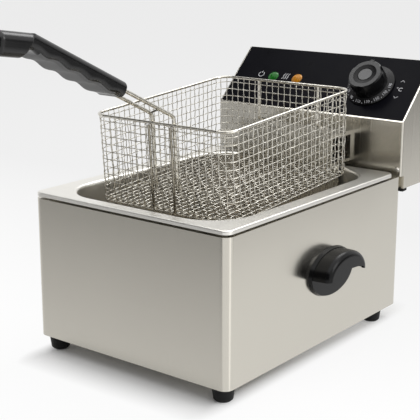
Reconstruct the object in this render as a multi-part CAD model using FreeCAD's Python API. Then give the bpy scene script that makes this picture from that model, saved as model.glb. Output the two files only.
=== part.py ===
"""Countertop deep fryer: casing, lift-out tank, lift-off control head and wire basket.

Millimetres, +Z up, +X to the right of someone facing the front, +Y to the rear.
The pieces are built round the middle of the casing's footprint. They are then moved along Y so that the
origin lies on the floor below the middle of the whole object, basket handle included.
"""
import FreeCAD
import Part
import math
import os

Vec = FreeCAD.Vector

# Casing, a folded steel box
CASING_WIDTH = 270.0
CASING_BEHIND_TANK = 19.0
CASING_HEIGHT = 161.0
CASING_CORNER = 10.0
CASING_SHEET = 1.0
RIM_SHELF = 9.0
REAR_RETURN = 25.0
REAR_PANEL_LAP = 14.0
REAR_SCREW_SHARES = (0.15, 0.7)

# Rubber feet
FOOT_HEIGHT = 17.0
FOOT_TOP_RADIUS = 12.5
FOOT_BOTTOM_RADIUS = 10.5
FOOT_EDGE = 2.0
FOOT_SIDE_INSET = 17.0
FOOT_FRONT_INSET = 16.5
FOOT_REAR_INSET = 33.0
FOOT_RECESS_RADIUS = 5.0
FOOT_RECESS_DEPTH = 9.0

# Side handles: an oval plate with a cup-shaped hood over its upper half
HANDLE_LENGTH = 88.0
HANDLE_HEIGHT = 55.5
HANDLE_PLATE = 4.5
HANDLE_PLATE_EDGE = 1.35
HANDLE_REACH = 25.0
HANDLE_NOSE_LENGTH = 79.0
HANDLE_NOSE_RISE = 26.0
HANDLE_NOSE_ROUND = 7.0
HANDLE_ARCH = 6.0
HANDLE_SKIRT_DROP = 0.7
HANDLE_SKIRT_LEG = 2.0
HANDLE_HOOD_STEP = 0.6
HANDLE_WALL = 4.0
HANDLE_DROP = 79.5
HANDLE_BEHIND_MIDDLE = 14.7
HANDLE_SCREW_SPACING = 56.0
HANDLE_SCREW_BITE = 3.0

# Oil tank, a drawn pan with a wide flange
TANK_LENGTH = 330.0
TANK_DEPTH = 145.0
TANK_SHEET = 1.0
TANK_CORNER = 50.0
TANK_FLOOR_EDGE = 16.0
FLANGE_FRONT = 17.5
FLANGE_SIDE = 21.0
FLANGE_REAR = 13.0
FLANGE_RISE = 7.0
FLANGE_EDGE = 4.0
LIP_DROP = 4.4
LIP_EDGE = 1.8
RIM_REAR_INSET = 5.0

# Control head, a folded steel box that hangs on the casing's rear edge
HEAD_WIDTH = 274.0
HEAD_DEPTH = 72.0
HEAD_LEDGE = 6.5
HEAD_FACE_HEIGHT = 66.0
HEAD_SHEET = 1.0
HEAD_EDGE = 2.5
APRON_DROP = 16.0
APRON_GAP = 1.0
BACK_COVER_SHEET = 1.0
COVER_TAB = 12.0
COVER_TAB_INSET = 8.0
BUMPER_WIDTH = 14.0
BUMPER_DEPTH = 9.0
BUMPER_HEIGHT = 4.0
BUMPER_EDGE = 1.2
FACE_SCREW_INSET = 6.0
FACE_SCREW_RISE = 8.0

# Sloped control panel
PANEL_SLOPE = 43.8
PANEL_LENGTH = 95.0
PANEL_SHEET = 1.0
PANEL_MARGIN = 2.4
LAMP_RADIUS = 7.5
LAMP_DOME = 3.5
LAMP_STEM_RADIUS = 5.0
LAMP_BODY_RADIUS = 6.5
LAMP_BODY_LENGTH = 16.0
LAMP_UP_PANEL = 48.0
LAMP_GREEN_X = -75.0
LAMP_AMBER_X = -38.0

# Thermostat and its knob
KNOB_X = 72.0
KNOB_UP_PANEL = 48.0
KNOB_SKIRT_RADIUS = 31.0
KNOB_SKIRT_EDGE = 1.6
KNOB_SKIRT_CENTRE = 4.5
KNOB_GRIP_RADIUS = 23.2
KNOB_GRIP_TOP_RADIUS = 22.0
KNOB_GRIP_EDGE = 1.6
KNOB_GRIP_HEIGHT = 18.5
KNOB_LOBES = 3
KNOB_LOBE_BITE = 3.4
KNOB_LOBE_RADIUS = 20.0
KNOB_POINTER_WIDTH = 5.0
KNOB_POINTER_REACH = 2.0
KNOB_DISH_RADIUS = 15.0
KNOB_DISH_DEPTH = 1.6
KNOB_CAP_RADIUS = 9.5
KNOB_CAP_HEIGHT = 2.0
KNOB_CAP_EDGE = 0.8
KNOB_CAP_RECESS = 1.0
KNOB_GAP = 0.5
SHAFT_RADIUS = 3.0
SHAFT_IN_KNOB = 14.0
SHAFT_IN_BODY = 12.0
THERMOSTAT_RADIUS = 19.0
THERMOSTAT_DEPTH = 20.0
THERMOSTAT_BUSH_RADIUS = 5.0

# Safety cut-out with its reset button, and the other pieces in the head
CUTOUT_X = -60.0
CUTOUT_RISE = 45.0
CUTOUT_SIZE = 26.0
CUTOUT_DEPTH = 22.0
CUTOUT_BUSH_RADIUS = 6.0
CUTOUT_BUSH_REACH = 2.0
RESET_RADIUS = 3.5
RESET_EDGE = 0.7
RESET_REACH = 2.5
RESET_IN_BODY = 6.0
RESET_TRAVEL = 2.0
TERMINAL_LENGTH = 46.0
TERMINAL_DEPTH = 18.0
TERMINAL_HEIGHT = 16.0
TERMINAL_X = 15.0
TERMINAL_BEHIND_APRON = 12.0
SWITCH_LENGTH = 20.0
SWITCH_DEPTH = 5.0
SWITCH_HEIGHT = 15.0
SWITCH_X = 100.0
SWITCH_PIN_RADIUS = 1.5
GROMMET_X = 85.0
GROMMET_RISE = 20.0
GROMMET_BORE = 4.0
GROMMET_NECK = 7.0
GROMMET_FLANGE = 10.0
GROMMET_LIP = 3.0

# Element bracket, a folded steel cover with a lip for the basket's hook
BRACKET_WIDTH = 136.0
BRACKET_REACH = 50.0
BRACKET_RISE = 49.5
BRACKET_LIP = 8.0
BRACKET_SHEET = 1.2
BRACKET_TAB = 11.0
BRACKET_SCREW_SHARES = (0.2, 0.7)
BRACKET_CHEEK_DEPTH = 20.0
BRACKET_WINDOW_EDGE = 3.5
BRACKET_FLANGE_GAP = 5.0
BRACKET_ELEMENT_GAP = 8.0

# Heating element, its braces and the two sensing bulbs
ELEMENT_RADIUS = 4.25
ELEMENT_PITCH = 30.0
ELEMENT_FLOOR_GAP = 18.0
ELEMENT_RISER_GAP = 4.0
ELEMENT_RUN_DROP = 21.0
ELEMENT_FRONT_GAP = 34.0
ELEMENT_REAR_GAP = 40.0
ELEMENT_TAIL = 11.0
ELEMENT_NUT_WIDTH = 15.0
ELEMENT_NUT_HEIGHT = 5.0
BRACE_WIDTH = 12.0
BRACE_SHEET = 1.5
BRACE_OVERHANG = 2.0
BULB_RADIUS = 3.0
BULB_LENGTH = 110.0
BULB_BRACE_INSET = 15.0
CAPILLARY_RADIUS = 1.0
CAPILLARY_BEND = 8.0

# Basket: a mesh box under a thick rim, its rear wall upright when it hangs
BASKET_WIDTH = 189.0
BASKET_DEPTH = 237.4
BASKET_HEIGHT = 98.5
BASKET_CORNER = 16.0
BASKET_PITCH = 4.2
BASKET_SIDEWAYS = 3.0
RIM_RADIUS = 1.6
MESH_WIRE = 1.2
MESH_GAP_WIDTH = 16.0
HOOK_RADIUS = 1.75
HOOK_BEND = 3.4
HOOK_SLACK = 3.0
HOOK_HALF_SPACING = 43.0
HOOK_DROP = 56.8
STAY_RADIUS = 1.5
STAY_BEND = 5.0

# Basket handle: two rods, and a rounded grip with a thicker tail and a soft wavy underside
HANDLE_SIDEWAYS = 3.5
ROD_RADIUS = 2.1
ROD_HALF_SPACING = 15.0
ROD_SLOPE = 30.0
ROD_BEND = 6.0
ROD_STAND = 8.7
ROD_DROP = 72.0
ROD_REACH = 82.5
ROD_IN_GRIP = 80.0
BRIDGE_RADIUS = 1.0
BRIDGE_ARCH = 4.0
BRIDGE_FROM_BEND = 4.5
GRIP_WIDTH = 38.0
GRIP_LENGTH = 130.5
GRIP_ABOVE_ROD = 8.2
GRIP_BELOW_ROD = 8.8
GRIP_ROUND = 6.8
GRIP_END_ROUND = 3.0
GRIP_LAP = 12.0
GRIP_FIRST_BUMP = 23.0
GRIP_BUMP_PITCH = 30.0
GRIP_BUMP = 1.1
GRIP_WAVE_STEPS = 40
TAIL_TURN = 17.2
TAIL_LENGTH = 46.0
TAIL_WIDTH = 40.0
TAIL_HEIGHT = 23.0
TAIL_SLANT = 16.0
TAIL_ROUND = 9.0
TAIL_END_ROUND = 6.0
TAIL_COLLAR_ROUND = 2.4
INSERT_BELOW_ROD = 6.8
INSERT_WAVE = 1.2
INSERT_START = 14.0
INSERT_TAPER = 11.0
INSERT_END = 121.0

# Fasteners and fits
TOUCH = 0.001
SCREW_RADIUS = 1.7
SCREW_HEAD_RADIUS = 3.4
SCREW_HEAD_TOP_RADIUS = 2.55
SCREW_HEAD_HEIGHT = 2.2
SCREW_BITE = 5.0
FOOT_SCREW_RADIUS = 2.0
FOOT_SCREW_HEAD_RADIUS = 4.4
FOOT_SCREW_HEAD_HEIGHT = 3.0
FOOT_NUT_WIDTH = 7.0
FOOT_NUT_HEIGHT = 3.0
HOLE_CLEARANCE = 0.2
RUNNING_CLEARANCE = 0.05
SEAT_CLEARANCE = 0.3

# Places that follow from the sizes above
CASING_DEPTH = TANK_LENGTH + CASING_BEHIND_TANK
SIDE = CASING_WIDTH / 2
FRONT = -CASING_DEPTH / 2
REAR = CASING_DEPTH / 2
CASING_BOTTOM = FOOT_HEIGHT
CASING_TOP = CASING_BOTTOM + CASING_HEIGHT
BASE_TOP = CASING_BOTTOM + CASING_SHEET
FLANGE_TOP = CASING_TOP + FLANGE_RISE
FLANGE_BOTTOM = FLANGE_TOP - TANK_SHEET
TANK_REAR = FRONT + TANK_LENGTH
TANK_BOTTOM = FLANGE_TOP - TANK_DEPTH
OPENING_SIDE = SIDE - FLANGE_SIDE
OPENING_FRONT = FRONT + FLANGE_FRONT
OPENING_REAR = TANK_REAR - FLANGE_REAR
HANDLE_MIDDLE_Z = CASING_TOP - HANDLE_DROP
HEAD_SIDE = HEAD_WIDTH / 2
HEAD_FRONT = REAR - HEAD_LEDGE
HEAD_BACK = HEAD_FRONT + HEAD_DEPTH
HEAD_BOTTOM = CASING_TOP - APRON_DROP
APRON_FRONT = REAR + APRON_GAP
COVER_BACK = HEAD_BACK + BACK_COVER_SHEET
SLOPE = math.radians(PANEL_SLOPE)
PANEL_FOOT = Vec(0, HEAD_FRONT, CASING_TOP + HEAD_FACE_HEIGHT)
PANEL_ALONG = Vec(0, math.cos(SLOPE), math.sin(SLOPE))
PANEL_NORMAL = Vec(0, -math.sin(SLOPE), math.cos(SLOPE))
PANEL_HEAD = PANEL_FOOT + PANEL_ALONG * PANEL_LENGTH
BRACKET_SIDE = BRACKET_WIDTH / 2
BRACKET_FRONT = HEAD_FRONT - BRACKET_REACH
BRACKET_TOP = CASING_TOP + BRACKET_RISE
BRACKET_LIP_TOP = BRACKET_TOP + BRACKET_LIP
ELEMENT_Z = TANK_BOTTOM + TANK_SHEET + ELEMENT_FLOOR_GAP + ELEMENT_RADIUS
ELEMENT_OUTER_X = 1.5 * ELEMENT_PITCH
ELEMENT_INNER_X = 0.5 * ELEMENT_PITCH
RISER_Y = BRACKET_FRONT + BRACKET_SHEET + ELEMENT_RISER_GAP + ELEMENT_RADIUS
RUN_Z = BRACKET_TOP - ELEMENT_RUN_DROP
ELEMENT_END_Y = HEAD_FRONT + HEAD_SHEET + ELEMENT_TAIL
ELEMENT_TURN_Y = OPENING_FRONT + ELEMENT_FRONT_GAP
BRACE_TOP = ELEMENT_Z - ELEMENT_RADIUS
BULB_FRONT = ELEMENT_TURN_Y + ELEMENT_PITCH
PITCH = math.radians(BASKET_PITCH)
NET_TOP = -RIM_RADIUS
NET_BOTTOM = MESH_WIRE - BASKET_HEIGHT
RIM_LINE_SIDE = (BASKET_WIDTH - MESH_WIRE) / 2
RIM_LINE_END = (BASKET_DEPTH - MESH_WIRE) / 2


def box(x0, x1, y0, y1, z0, z1):
    """Block between two corners."""
    return Part.makeBox(x1 - x0, y1 - y0, z1 - z0, Vec(x0, y0, z0))


def level_loop(x0, x1, y0, y1, radius, z):
    """Rectangle with rounded corners in a level plane."""
    bow = radius * (1 - math.sqrt(0.5))
    ends = [Vec(x0 + radius, y0, z), Vec(x1 - radius, y0, z), Vec(x1, y0 + radius, z), Vec(x1, y1 - radius, z)]
    ends += [Vec(x1 - radius, y1, z), Vec(x0 + radius, y1, z), Vec(x0, y1 - radius, z), Vec(x0, y0 + radius, z)]
    bends = [Vec(x1 - bow, y0 + bow, z), Vec(x1 - bow, y1 - bow, z)]
    bends += [Vec(x0 + bow, y1 - bow, z), Vec(x0 + bow, y0 + bow, z)]
    edges = []
    for i, bend in enumerate(bends):
        start, end, after = ends[2 * i], ends[2 * i + 1], ends[(2 * i + 2) % 8]
        edges.append(Part.makeLine(start, end))
        edges.append(Part.Arc(end, bend, after).toShape())
    return Part.Wire(edges)


def slab(x0, x1, y0, y1, radius, z0, z1):
    """Upright prism on a rounded rectangle."""
    return Part.Face(level_loop(x0, x1, y0, y1, radius, z0)).extrude(Vec(0, 0, z1 - z0))


def prism(points, vector):
    """Prism on a flat polygon."""
    return Part.Face(Part.makePolygon(points + [points[0]])).extrude(vector)


def revolved(profile, centre, axis):
    """Solid of revolution of (radius, height) points about an axis."""
    face = Part.Face(Part.makePolygon([Vec(r, 0, h) for r, h in profile + profile[:1]]))
    solid = face.revolve(Vec(0, 0, 0), Vec(0, 0, 1), 360)
    solid.Placement = FreeCAD.Placement(centre, FreeCAD.Rotation(Vec(0, 0, 1), axis))
    return solid


def hexagon(width, height, centre, axis):
    """Six-sided nut blank, width across its flats."""
    corner = width / math.sqrt(3)
    turns = [math.radians(60 * i) for i in range(6)]
    blank = prism([Vec(corner * math.cos(t), corner * math.sin(t), 0) for t in turns], Vec(0, 0, height))
    blank.Placement = FreeCAD.Placement(centre, FreeCAD.Rotation(Vec(0, 0, 1), axis))
    return blank


def disc(centre, axis, radius):
    """Flat round face."""
    return Part.Face(Part.Wire([Part.Circle(centre, axis, radius).toShape()]))


def rod(points, bend, radius):
    """Round rod along straight runs joined by tangent bends of one radius."""
    solids = []
    start = points[0]
    for before, corner, after in zip(points, points[1:], points[2:]):
        arriving = (corner - before).normalize()
        leaving = (after - corner).normalize()
        turn = arriving.getAngle(leaving)
        reach = bend * math.tan(turn / 2)
        bend_start = corner - arriving * reach
        run = start.distanceToPoint(bend_start)
        if run > TOUCH:
            solids.append(Part.makeCylinder(radius, run, start, arriving))
        inward = (leaving - arriving * math.cos(turn)).normalize()
        hub = bend_start + inward * bend
        hinge = arriving.cross(leaving)
        solids.append(disc(bend_start, arriving, radius).revolve(hub, hinge, math.degrees(turn)))
        start = corner + leaving * reach
    last = points[-1] - start
    solids.append(Part.makeCylinder(radius, last.Length, start, last))
    return solids[0].fuse(solids[1:])


def edges_at(shape, test):
    """Edges whose every sampled point passes a test."""
    found = []
    for edge in shape.Edges:
        if all(test(point) for point in edge.discretize(5)):
            found.append(edge)
    return found


def screw(seat, inward, length):
    """Pan-head screw: the head stands on its seat, the shank goes inward."""
    top = SCREW_HEAD_TOP_RADIUS
    profile = [(0, -SCREW_HEAD_HEIGHT), (top, -SCREW_HEAD_HEIGHT), (SCREW_HEAD_RADIUS, 0)]
    profile += [(SCREW_RADIUS, 0), (SCREW_RADIUS, length), (0, length)]
    return revolved(profile, seat, inward)


def screw_hole(seat, inward, length):
    """Clearance hole for a screw."""
    start = seat - inward * length
    return Part.makeCylinder(SCREW_RADIUS + HOLE_CLEARANCE, 2 * length, start, inward)


def group(solids):
    """Separate solids kept together as one piece."""
    return Part.makeCompound(solids)


# Casing
def rim_loop(inset, z0, z1):
    """Prism inside the casing's rim, set in from the rim's outer face."""
    rear = TANK_REAR - RIM_REAR_INSET - inset
    side = SIDE - RIM_SHELF - inset
    return slab(-side, side, FRONT + RIM_SHELF + inset, rear, CASING_CORNER, z0, z1)


def handle_screw_seats(sign):
    """Seats of one side handle's screws on the inner face of the casing's side."""
    seats = []
    for end in (-1, 1):
        y = HANDLE_BEHIND_MIDDLE + end * HANDLE_SCREW_SPACING / 2
        seats.append(Vec(sign * (SIDE - CASING_SHEET), y, HANDLE_MIDDLE_Z))
    return seats


def rear_panel_screw_seats():
    """Seats of the rear panel's screws on the casing's rear returns."""
    x = SIDE - REAR_RETURN + REAR_PANEL_LAP / 2
    heights = [CASING_BOTTOM + CASING_HEIGHT * share for share in REAR_SCREW_SHARES]
    return [Vec(sign * x, REAR, z) for sign in (-1, 1) for z in heights]


def casing_wrap():
    """Front and sides with returns at the rear, and a shelf round the top."""
    inner = SIDE - CASING_SHEET
    inner_corner = CASING_CORNER - CASING_SHEET
    walls = slab(-SIDE, SIDE, FRONT, REAR, CASING_CORNER, CASING_BOTTOM, CASING_TOP)
    hollow_top = CASING_TOP - CASING_SHEET
    hollow = slab(-inner, inner, FRONT + CASING_SHEET, REAR - CASING_SHEET,
                  inner_corner, CASING_BOTTOM, hollow_top)
    walls = walls.cut(hollow).cut(rim_loop(CASING_SHEET, hollow_top, CASING_TOP))
    window = SIDE - REAR_RETURN
    wrap = walls.cut(box(-window, window, REAR - CASING_CORNER, REAR, CASING_BOTTOM, hollow_top))
    for sign in (-1, 1):
        for seat in handle_screw_seats(sign):
            wrap = wrap.cut(screw_hole(seat, Vec(sign, 0, 0), 2 * CASING_SHEET))
    for seat in rear_panel_screw_seats():
        wrap = wrap.cut(screw_hole(seat, Vec(0, -1, 0), 2 * CASING_SHEET))
    return wrap


def tank_rest():
    """Upright band welded on the casing's shelf, which the tank's flange stands on."""
    return rim_loop(0, CASING_TOP, FLANGE_BOTTOM).cut(rim_loop(CASING_SHEET, CASING_TOP, FLANGE_BOTTOM))


def rear_panel():
    """Plate behind the tank, lapped inside the casing's returns."""
    half = SIDE - REAR_RETURN + REAR_PANEL_LAP
    outer = REAR - CASING_SHEET
    panel = box(-half, half, outer - CASING_SHEET, outer, BASE_TOP, CASING_TOP - CASING_SHEET)
    for seat in rear_panel_screw_seats():
        panel = panel.cut(screw_hole(seat, Vec(0, -1, 0), 3 * CASING_SHEET))
    return panel


def rear_panel_screws():
    """Screws through the returns into the rear panel."""
    return group([screw(seat, Vec(0, -1, 0), 2 * CASING_SHEET + 1) for seat in rear_panel_screw_seats()])


def foot_centres():
    """Middle of each foot on the floor, by name."""
    x = SIDE - FOOT_SIDE_INSET
    front = FRONT + FOOT_FRONT_INSET
    rear = REAR - FOOT_REAR_INSET
    return {
        "front_left": Vec(-x, front, 0),
        "front_right": Vec(x, front, 0),
        "rear_left": Vec(-x, rear, 0),
        "rear_right": Vec(x, rear, 0),
    }


def base_plate():
    """Flat floor of the casing, with a hole over each foot."""
    side = SIDE - CASING_SHEET
    corner = CASING_CORNER - CASING_SHEET
    plate = slab(-side, side, FRONT + CASING_SHEET, REAR - CASING_SHEET, corner, CASING_BOTTOM, BASE_TOP)
    for centre in foot_centres().values():
        hole = Part.makeCylinder(FOOT_SCREW_RADIUS + HOLE_CLEARANCE, 2 * FOOT_HEIGHT, centre)
        plate = plate.cut(hole)
    return plate


def foot(centre):
    """Rubber foot, wider at its top, with a recess for its screw."""
    hole = FOOT_SCREW_RADIUS + HOLE_CLEARANCE
    profile = [(FOOT_RECESS_RADIUS, 0), (FOOT_BOTTOM_RADIUS - FOOT_EDGE, 0), (FOOT_BOTTOM_RADIUS, FOOT_EDGE)]
    profile += [(FOOT_TOP_RADIUS, FOOT_HEIGHT), (hole, FOOT_HEIGHT)]
    profile += [(hole, FOOT_RECESS_DEPTH), (FOOT_RECESS_RADIUS, FOOT_RECESS_DEPTH)]
    return revolved(profile, centre, Vec(0, 0, 1))


def foot_screws():
    """Screws up through the feet, each with its nut on the base plate."""
    solids = []
    for centre in foot_centres().values():
        seat = centre + Vec(0, 0, FOOT_RECESS_DEPTH)
        under = seat - Vec(0, 0, FOOT_SCREW_HEAD_HEIGHT)
        head = Part.makeCylinder(FOOT_SCREW_HEAD_RADIUS, FOOT_SCREW_HEAD_HEIGHT, under)
        top = BASE_TOP + FOOT_NUT_HEIGHT
        shank = Part.makeCylinder(FOOT_SCREW_RADIUS, top - seat.z, seat)
        nut = hexagon(FOOT_NUT_WIDTH, FOOT_NUT_HEIGHT, centre + Vec(0, 0, BASE_TOP), Vec(0, 0, 1))
        solids.append(head.fuse([shank, nut]).removeSplitter())
    return group(solids)


def oval(x, half_length, half_height):
    """Upright oval round the middle of a side handle."""
    middle = Vec(x, HANDLE_BEHIND_MIDDLE, HANDLE_MIDDLE_Z)
    curve = Part.Ellipse(middle + Vec(0, half_length, 0), middle + Vec(0, 0, half_height), middle)
    start, end = -math.pi / 6, math.pi * 7 / 6
    upper = Part.ArcOfEllipse(curve, start, end)
    lower = Part.ArcOfEllipse(curve, end, start + 2 * math.pi)
    return Part.Wire([upper.toShape(), lower.toShape()])


def side_handle(sign):
    """Cup handle: an oval plate with a hood over its upper half, closed in front by a skirt and open below."""
    long_half = HANDLE_LENGTH / 2
    high_half = HANDLE_HEIGHT / 2
    nose_half = HANDLE_NOSE_LENGTH / 2
    wall = HANDLE_WALL
    face = SIDE + HANDLE_PLATE
    nose = SIDE + HANDLE_REACH
    edge = HANDLE_PLATE_EDGE
    plate = Part.makeLoft([oval(SIDE, long_half, high_half), oval(face, long_half - edge, high_half - edge)], True, True)
    base = SIDE + HANDLE_PLATE / 2
    root_length = long_half - edge - HANDLE_HOOD_STEP
    root_height = high_half - edge - HANDLE_HOOD_STEP
    hood = Part.makeLoft([oval(base, root_length, root_height), oval(nose, nose_half, HANDLE_NOSE_RISE)], True, True)
    hood = hood.makeFillet(HANDLE_NOSE_ROUND, edges_at(hood, lambda p: abs(p.x - nose) < TOUCH))
    inner_root = oval(base, root_length - wall, root_height - wall)
    inner_nose = oval(nose - wall, nose_half - wall, HANDLE_NOSE_RISE - wall)
    hood = hood.cut(Part.makeLoft([inner_root, inner_nose], True, True))
    keep = box(SIDE, nose, HANDLE_BEHIND_MIDDLE - HANDLE_LENGTH, HANDLE_BEHIND_MIDDLE + HANDLE_LENGTH,
               HANDLE_MIDDLE_Z - HANDLE_SKIRT_DROP, HANDLE_MIDDLE_Z + HANDLE_HEIGHT)
    arch = Part.Face(oval(face, nose_half - wall - HANDLE_SKIRT_LEG, HANDLE_ARCH)).extrude(Vec(HANDLE_REACH, 0, 0))
    handle = plate.fuse(hood.common(keep).cut(arch)).removeSplitter()
    for seat in handle_screw_seats(1):
        handle = handle.cut(screw_hole(seat, Vec(1, 0, 0), CASING_SHEET + HANDLE_SCREW_BITE + HOLE_CLEARANCE))
    if sign < 0:
        handle = handle.mirror(Vec(0, 0, 0), Vec(1, 0, 0))
    return handle


def handle_screws():
    """Screws from inside the casing into both side handles."""
    solids = []
    for sign in (-1, 1):
        for seat in handle_screw_seats(sign):
            solids.append(screw(seat, Vec(sign, 0, 0), CASING_SHEET + HANDLE_SCREW_BITE))
    return group(solids)


# Oil tank
def oil_tank():
    """Drawn pan: bowl, rounded edge, level flange and down-turned lip."""
    lip_bottom = FLANGE_TOP - LIP_DROP
    inset = TANK_SHEET
    tank = slab(-SIDE, SIDE, FRONT, TANK_REAR, CASING_CORNER, lip_bottom, FLANGE_TOP)
    under = slab(-SIDE + inset, SIDE - inset, FRONT + inset, TANK_REAR - inset,
                 CASING_CORNER - inset, lip_bottom, FLANGE_BOTTOM)
    tank = tank.cut(under)
    outer_side = OPENING_SIDE + inset
    bowl = slab(-outer_side, outer_side, OPENING_FRONT - inset, OPENING_REAR + inset,
                TANK_CORNER + inset, TANK_BOTTOM, FLANGE_BOTTOM)
    bowl = bowl.makeFillet(TANK_FLOOR_EDGE + inset, edges_at(bowl, lambda p: abs(p.z - TANK_BOTTOM) < TOUCH))
    tank = tank.fuse(bowl).removeSplitter()
    wide = OPENING_SIDE + FLANGE_EDGE

    def on_bowl(p):
        inside_flange = abs(p.x) < wide and OPENING_FRONT - wide < p.y < OPENING_REAR + FLANGE_EDGE
        return inside_flange and p.y > OPENING_FRONT - FLANGE_EDGE

    throat = edges_at(tank, lambda p: abs(p.z - FLANGE_BOTTOM) < TOUCH and on_bowl(p))
    tank = tank.makeFillet(FLANGE_EDGE - inset, throat)
    hollow = slab(-OPENING_SIDE, OPENING_SIDE, OPENING_FRONT, OPENING_REAR,
                  TANK_CORNER, TANK_BOTTOM + inset, FLANGE_TOP)
    floor = TANK_BOTTOM + inset
    hollow = hollow.makeFillet(TANK_FLOOR_EDGE, edges_at(hollow, lambda p: abs(p.z - floor) < TOUCH))
    tank = tank.cut(hollow)
    mouth = edges_at(tank, lambda p: abs(p.z - FLANGE_TOP) < TOUCH and on_bowl(p))
    tank = tank.makeFillet(FLANGE_EDGE, mouth)
    outline = edges_at(tank, lambda p: abs(p.z - FLANGE_TOP) < TOUCH and not on_bowl(p))
    return tank.makeFillet(LIP_EDGE, outline)


# Control head
def on_panel(x, up, lift):
    """Point on the sloped face: sideways, up the slope and out along its normal."""
    return PANEL_FOOT + PANEL_ALONG * up + PANEL_NORMAL * lift + Vec(x, 0, 0)


def head_profile(inset):
    """Side view of the head above the casing's rim, set in evenly from its outer faces."""
    slope_low = inset * math.tan((math.pi / 2 - SLOPE) / 2)
    slope_high = inset * math.tan(SLOPE / 2)
    floor = CASING_TOP + inset
    return [
        Vec(0, HEAD_FRONT + inset, floor),
        Vec(0, HEAD_FRONT + inset, PANEL_FOOT.z - slope_low),
        Vec(0, PANEL_HEAD.y + slope_high, PANEL_HEAD.z - inset),
        Vec(0, HEAD_BACK, PANEL_HEAD.z - inset),
        Vec(0, HEAD_BACK, floor),
    ]


def cover_screw_seats():
    """Seats of the back cover's screws."""
    x = HEAD_SIDE - COVER_TAB_INSET
    heights = (HEAD_BOTTOM + COVER_TAB_INSET, PANEL_HEAD.z - COVER_TAB_INSET)
    return [Vec(sign * x, COVER_BACK, z) for sign in (-1, 1) for z in heights]


def bracket_screw_seats():
    """Seats of the bracket's screws on its inward tabs."""
    x = BRACKET_SIDE - BRACKET_SHEET - BRACKET_TAB / 2
    low = FLANGE_TOP + BRACKET_FLANGE_GAP
    heights = [low + (BRACKET_TOP - low) * share for share in BRACKET_SCREW_SHARES]
    return [Vec(sign * x, HEAD_FRONT - BRACKET_SHEET, z) for sign in (-1, 1) for z in heights]


def face_screw_seats():
    """Seats of the screws at the lower corners of the head's face."""
    x = HEAD_SIDE - FACE_SCREW_INSET
    return [Vec(sign * x, HEAD_FRONT, CASING_TOP + FACE_SCREW_RISE) for sign in (-1, 1)]


def panel_holes():
    """Holes through the sloped face for the lamps and the thermostat's bush."""
    holes = []
    for x in (LAMP_GREEN_X, LAMP_AMBER_X):
        start = on_panel(x, LAMP_UP_PANEL, -2 * HEAD_SHEET)
        depth = PANEL_SHEET + 3 * HEAD_SHEET
        holes.append(Part.makeCylinder(LAMP_STEM_RADIUS + HOLE_CLEARANCE, depth, start, PANEL_NORMAL))
    start = on_panel(KNOB_X, KNOB_UP_PANEL, -2 * HEAD_SHEET)
    bush = THERMOSTAT_BUSH_RADIUS + HOLE_CLEARANCE
    holes.append(Part.makeCylinder(bush, PANEL_SHEET + 3 * HEAD_SHEET, start, PANEL_NORMAL))
    return holes


def with_cover_tabs(shell, low, high):
    """Shell of the head with a tab for each of the back cover's screws between two heights."""
    for seat in cover_screw_seats():
        if low < seat.z < high:
            sign = math.copysign(1, seat.x)
            side = sign * (HEAD_SIDE - HEAD_SHEET)
            inner = side - sign * COVER_TAB
            tab = box(min(side, inner), max(side, inner), HEAD_BACK - HEAD_SHEET, HEAD_BACK,
                      seat.z - COVER_TAB / 2, seat.z + COVER_TAB / 2)
            shell = shell.fuse(tab).cut(screw_hole(seat, Vec(0, -1, 0), 3 * HEAD_SHEET))
    return shell


def head_case():
    """Folded box above the casing's rim: face, slope, top, sides and ledge, open at the back."""
    half = HEAD_SIDE - HEAD_SHEET
    case = prism([p - Vec(HEAD_SIDE, 0, 0) for p in head_profile(0)], Vec(HEAD_WIDTH, 0, 0))
    corners = edges_at(case, lambda p: abs(abs(p.x) - HEAD_SIDE) < TOUCH and abs(p.y - HEAD_FRONT) < TOUCH)
    case = case.makeFillet(HEAD_EDGE, corners)
    hollow = prism([p - Vec(half, 0, 0) for p in head_profile(HEAD_SHEET)], Vec(2 * half, 0, 0))
    well = box(-half, half, APRON_FRONT + HEAD_SHEET, HEAD_BACK, CASING_TOP, CASING_TOP + HEAD_SHEET)
    case = with_cover_tabs(case.cut([hollow, well]), CASING_TOP, PANEL_HEAD.z)
    holes = panel_holes()
    for seat in bracket_screw_seats() + face_screw_seats():
        holes.append(screw_hole(seat, Vec(0, 1, 0), BRACKET_SHEET + 2 * HEAD_SHEET))
    for sign in (-1, 1):
        start = Vec(sign * ELEMENT_OUTER_X, HEAD_FRONT - HEAD_SHEET, RUN_Z)
        holes.append(Part.makeCylinder(ELEMENT_RADIUS + HOLE_CLEARANCE, 3 * HEAD_SHEET, start, Vec(0, 1, 0)))
        start = Vec(sign * ELEMENT_PITCH, HEAD_FRONT - HEAD_SHEET, RUN_Z)
        holes.append(Part.makeCylinder(CAPILLARY_RADIUS + HOLE_CLEARANCE, 3 * HEAD_SHEET, start, Vec(0, 1, 0)))
    pin = Vec(SWITCH_X, switch_middle_y(), CASING_TOP - HEAD_SHEET)
    holes.append(Part.makeCylinder(SWITCH_PIN_RADIUS + HOLE_CLEARANCE, 3 * HEAD_SHEET, pin))
    return case.cut(holes).removeSplitter()


def head_apron():
    """Tray welded under the case, hanging down behind the casing, open at its top and back."""
    half = HEAD_SIDE - HEAD_SHEET
    tray = box(-HEAD_SIDE, HEAD_SIDE, APRON_FRONT, HEAD_BACK, HEAD_BOTTOM, CASING_TOP)
    inside = box(-half, half, APRON_FRONT + HEAD_SHEET, HEAD_BACK, HEAD_BOTTOM + HEAD_SHEET, CASING_TOP)
    return with_cover_tabs(tray.cut(inside), HEAD_BOTTOM, CASING_TOP).removeSplitter()


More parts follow.
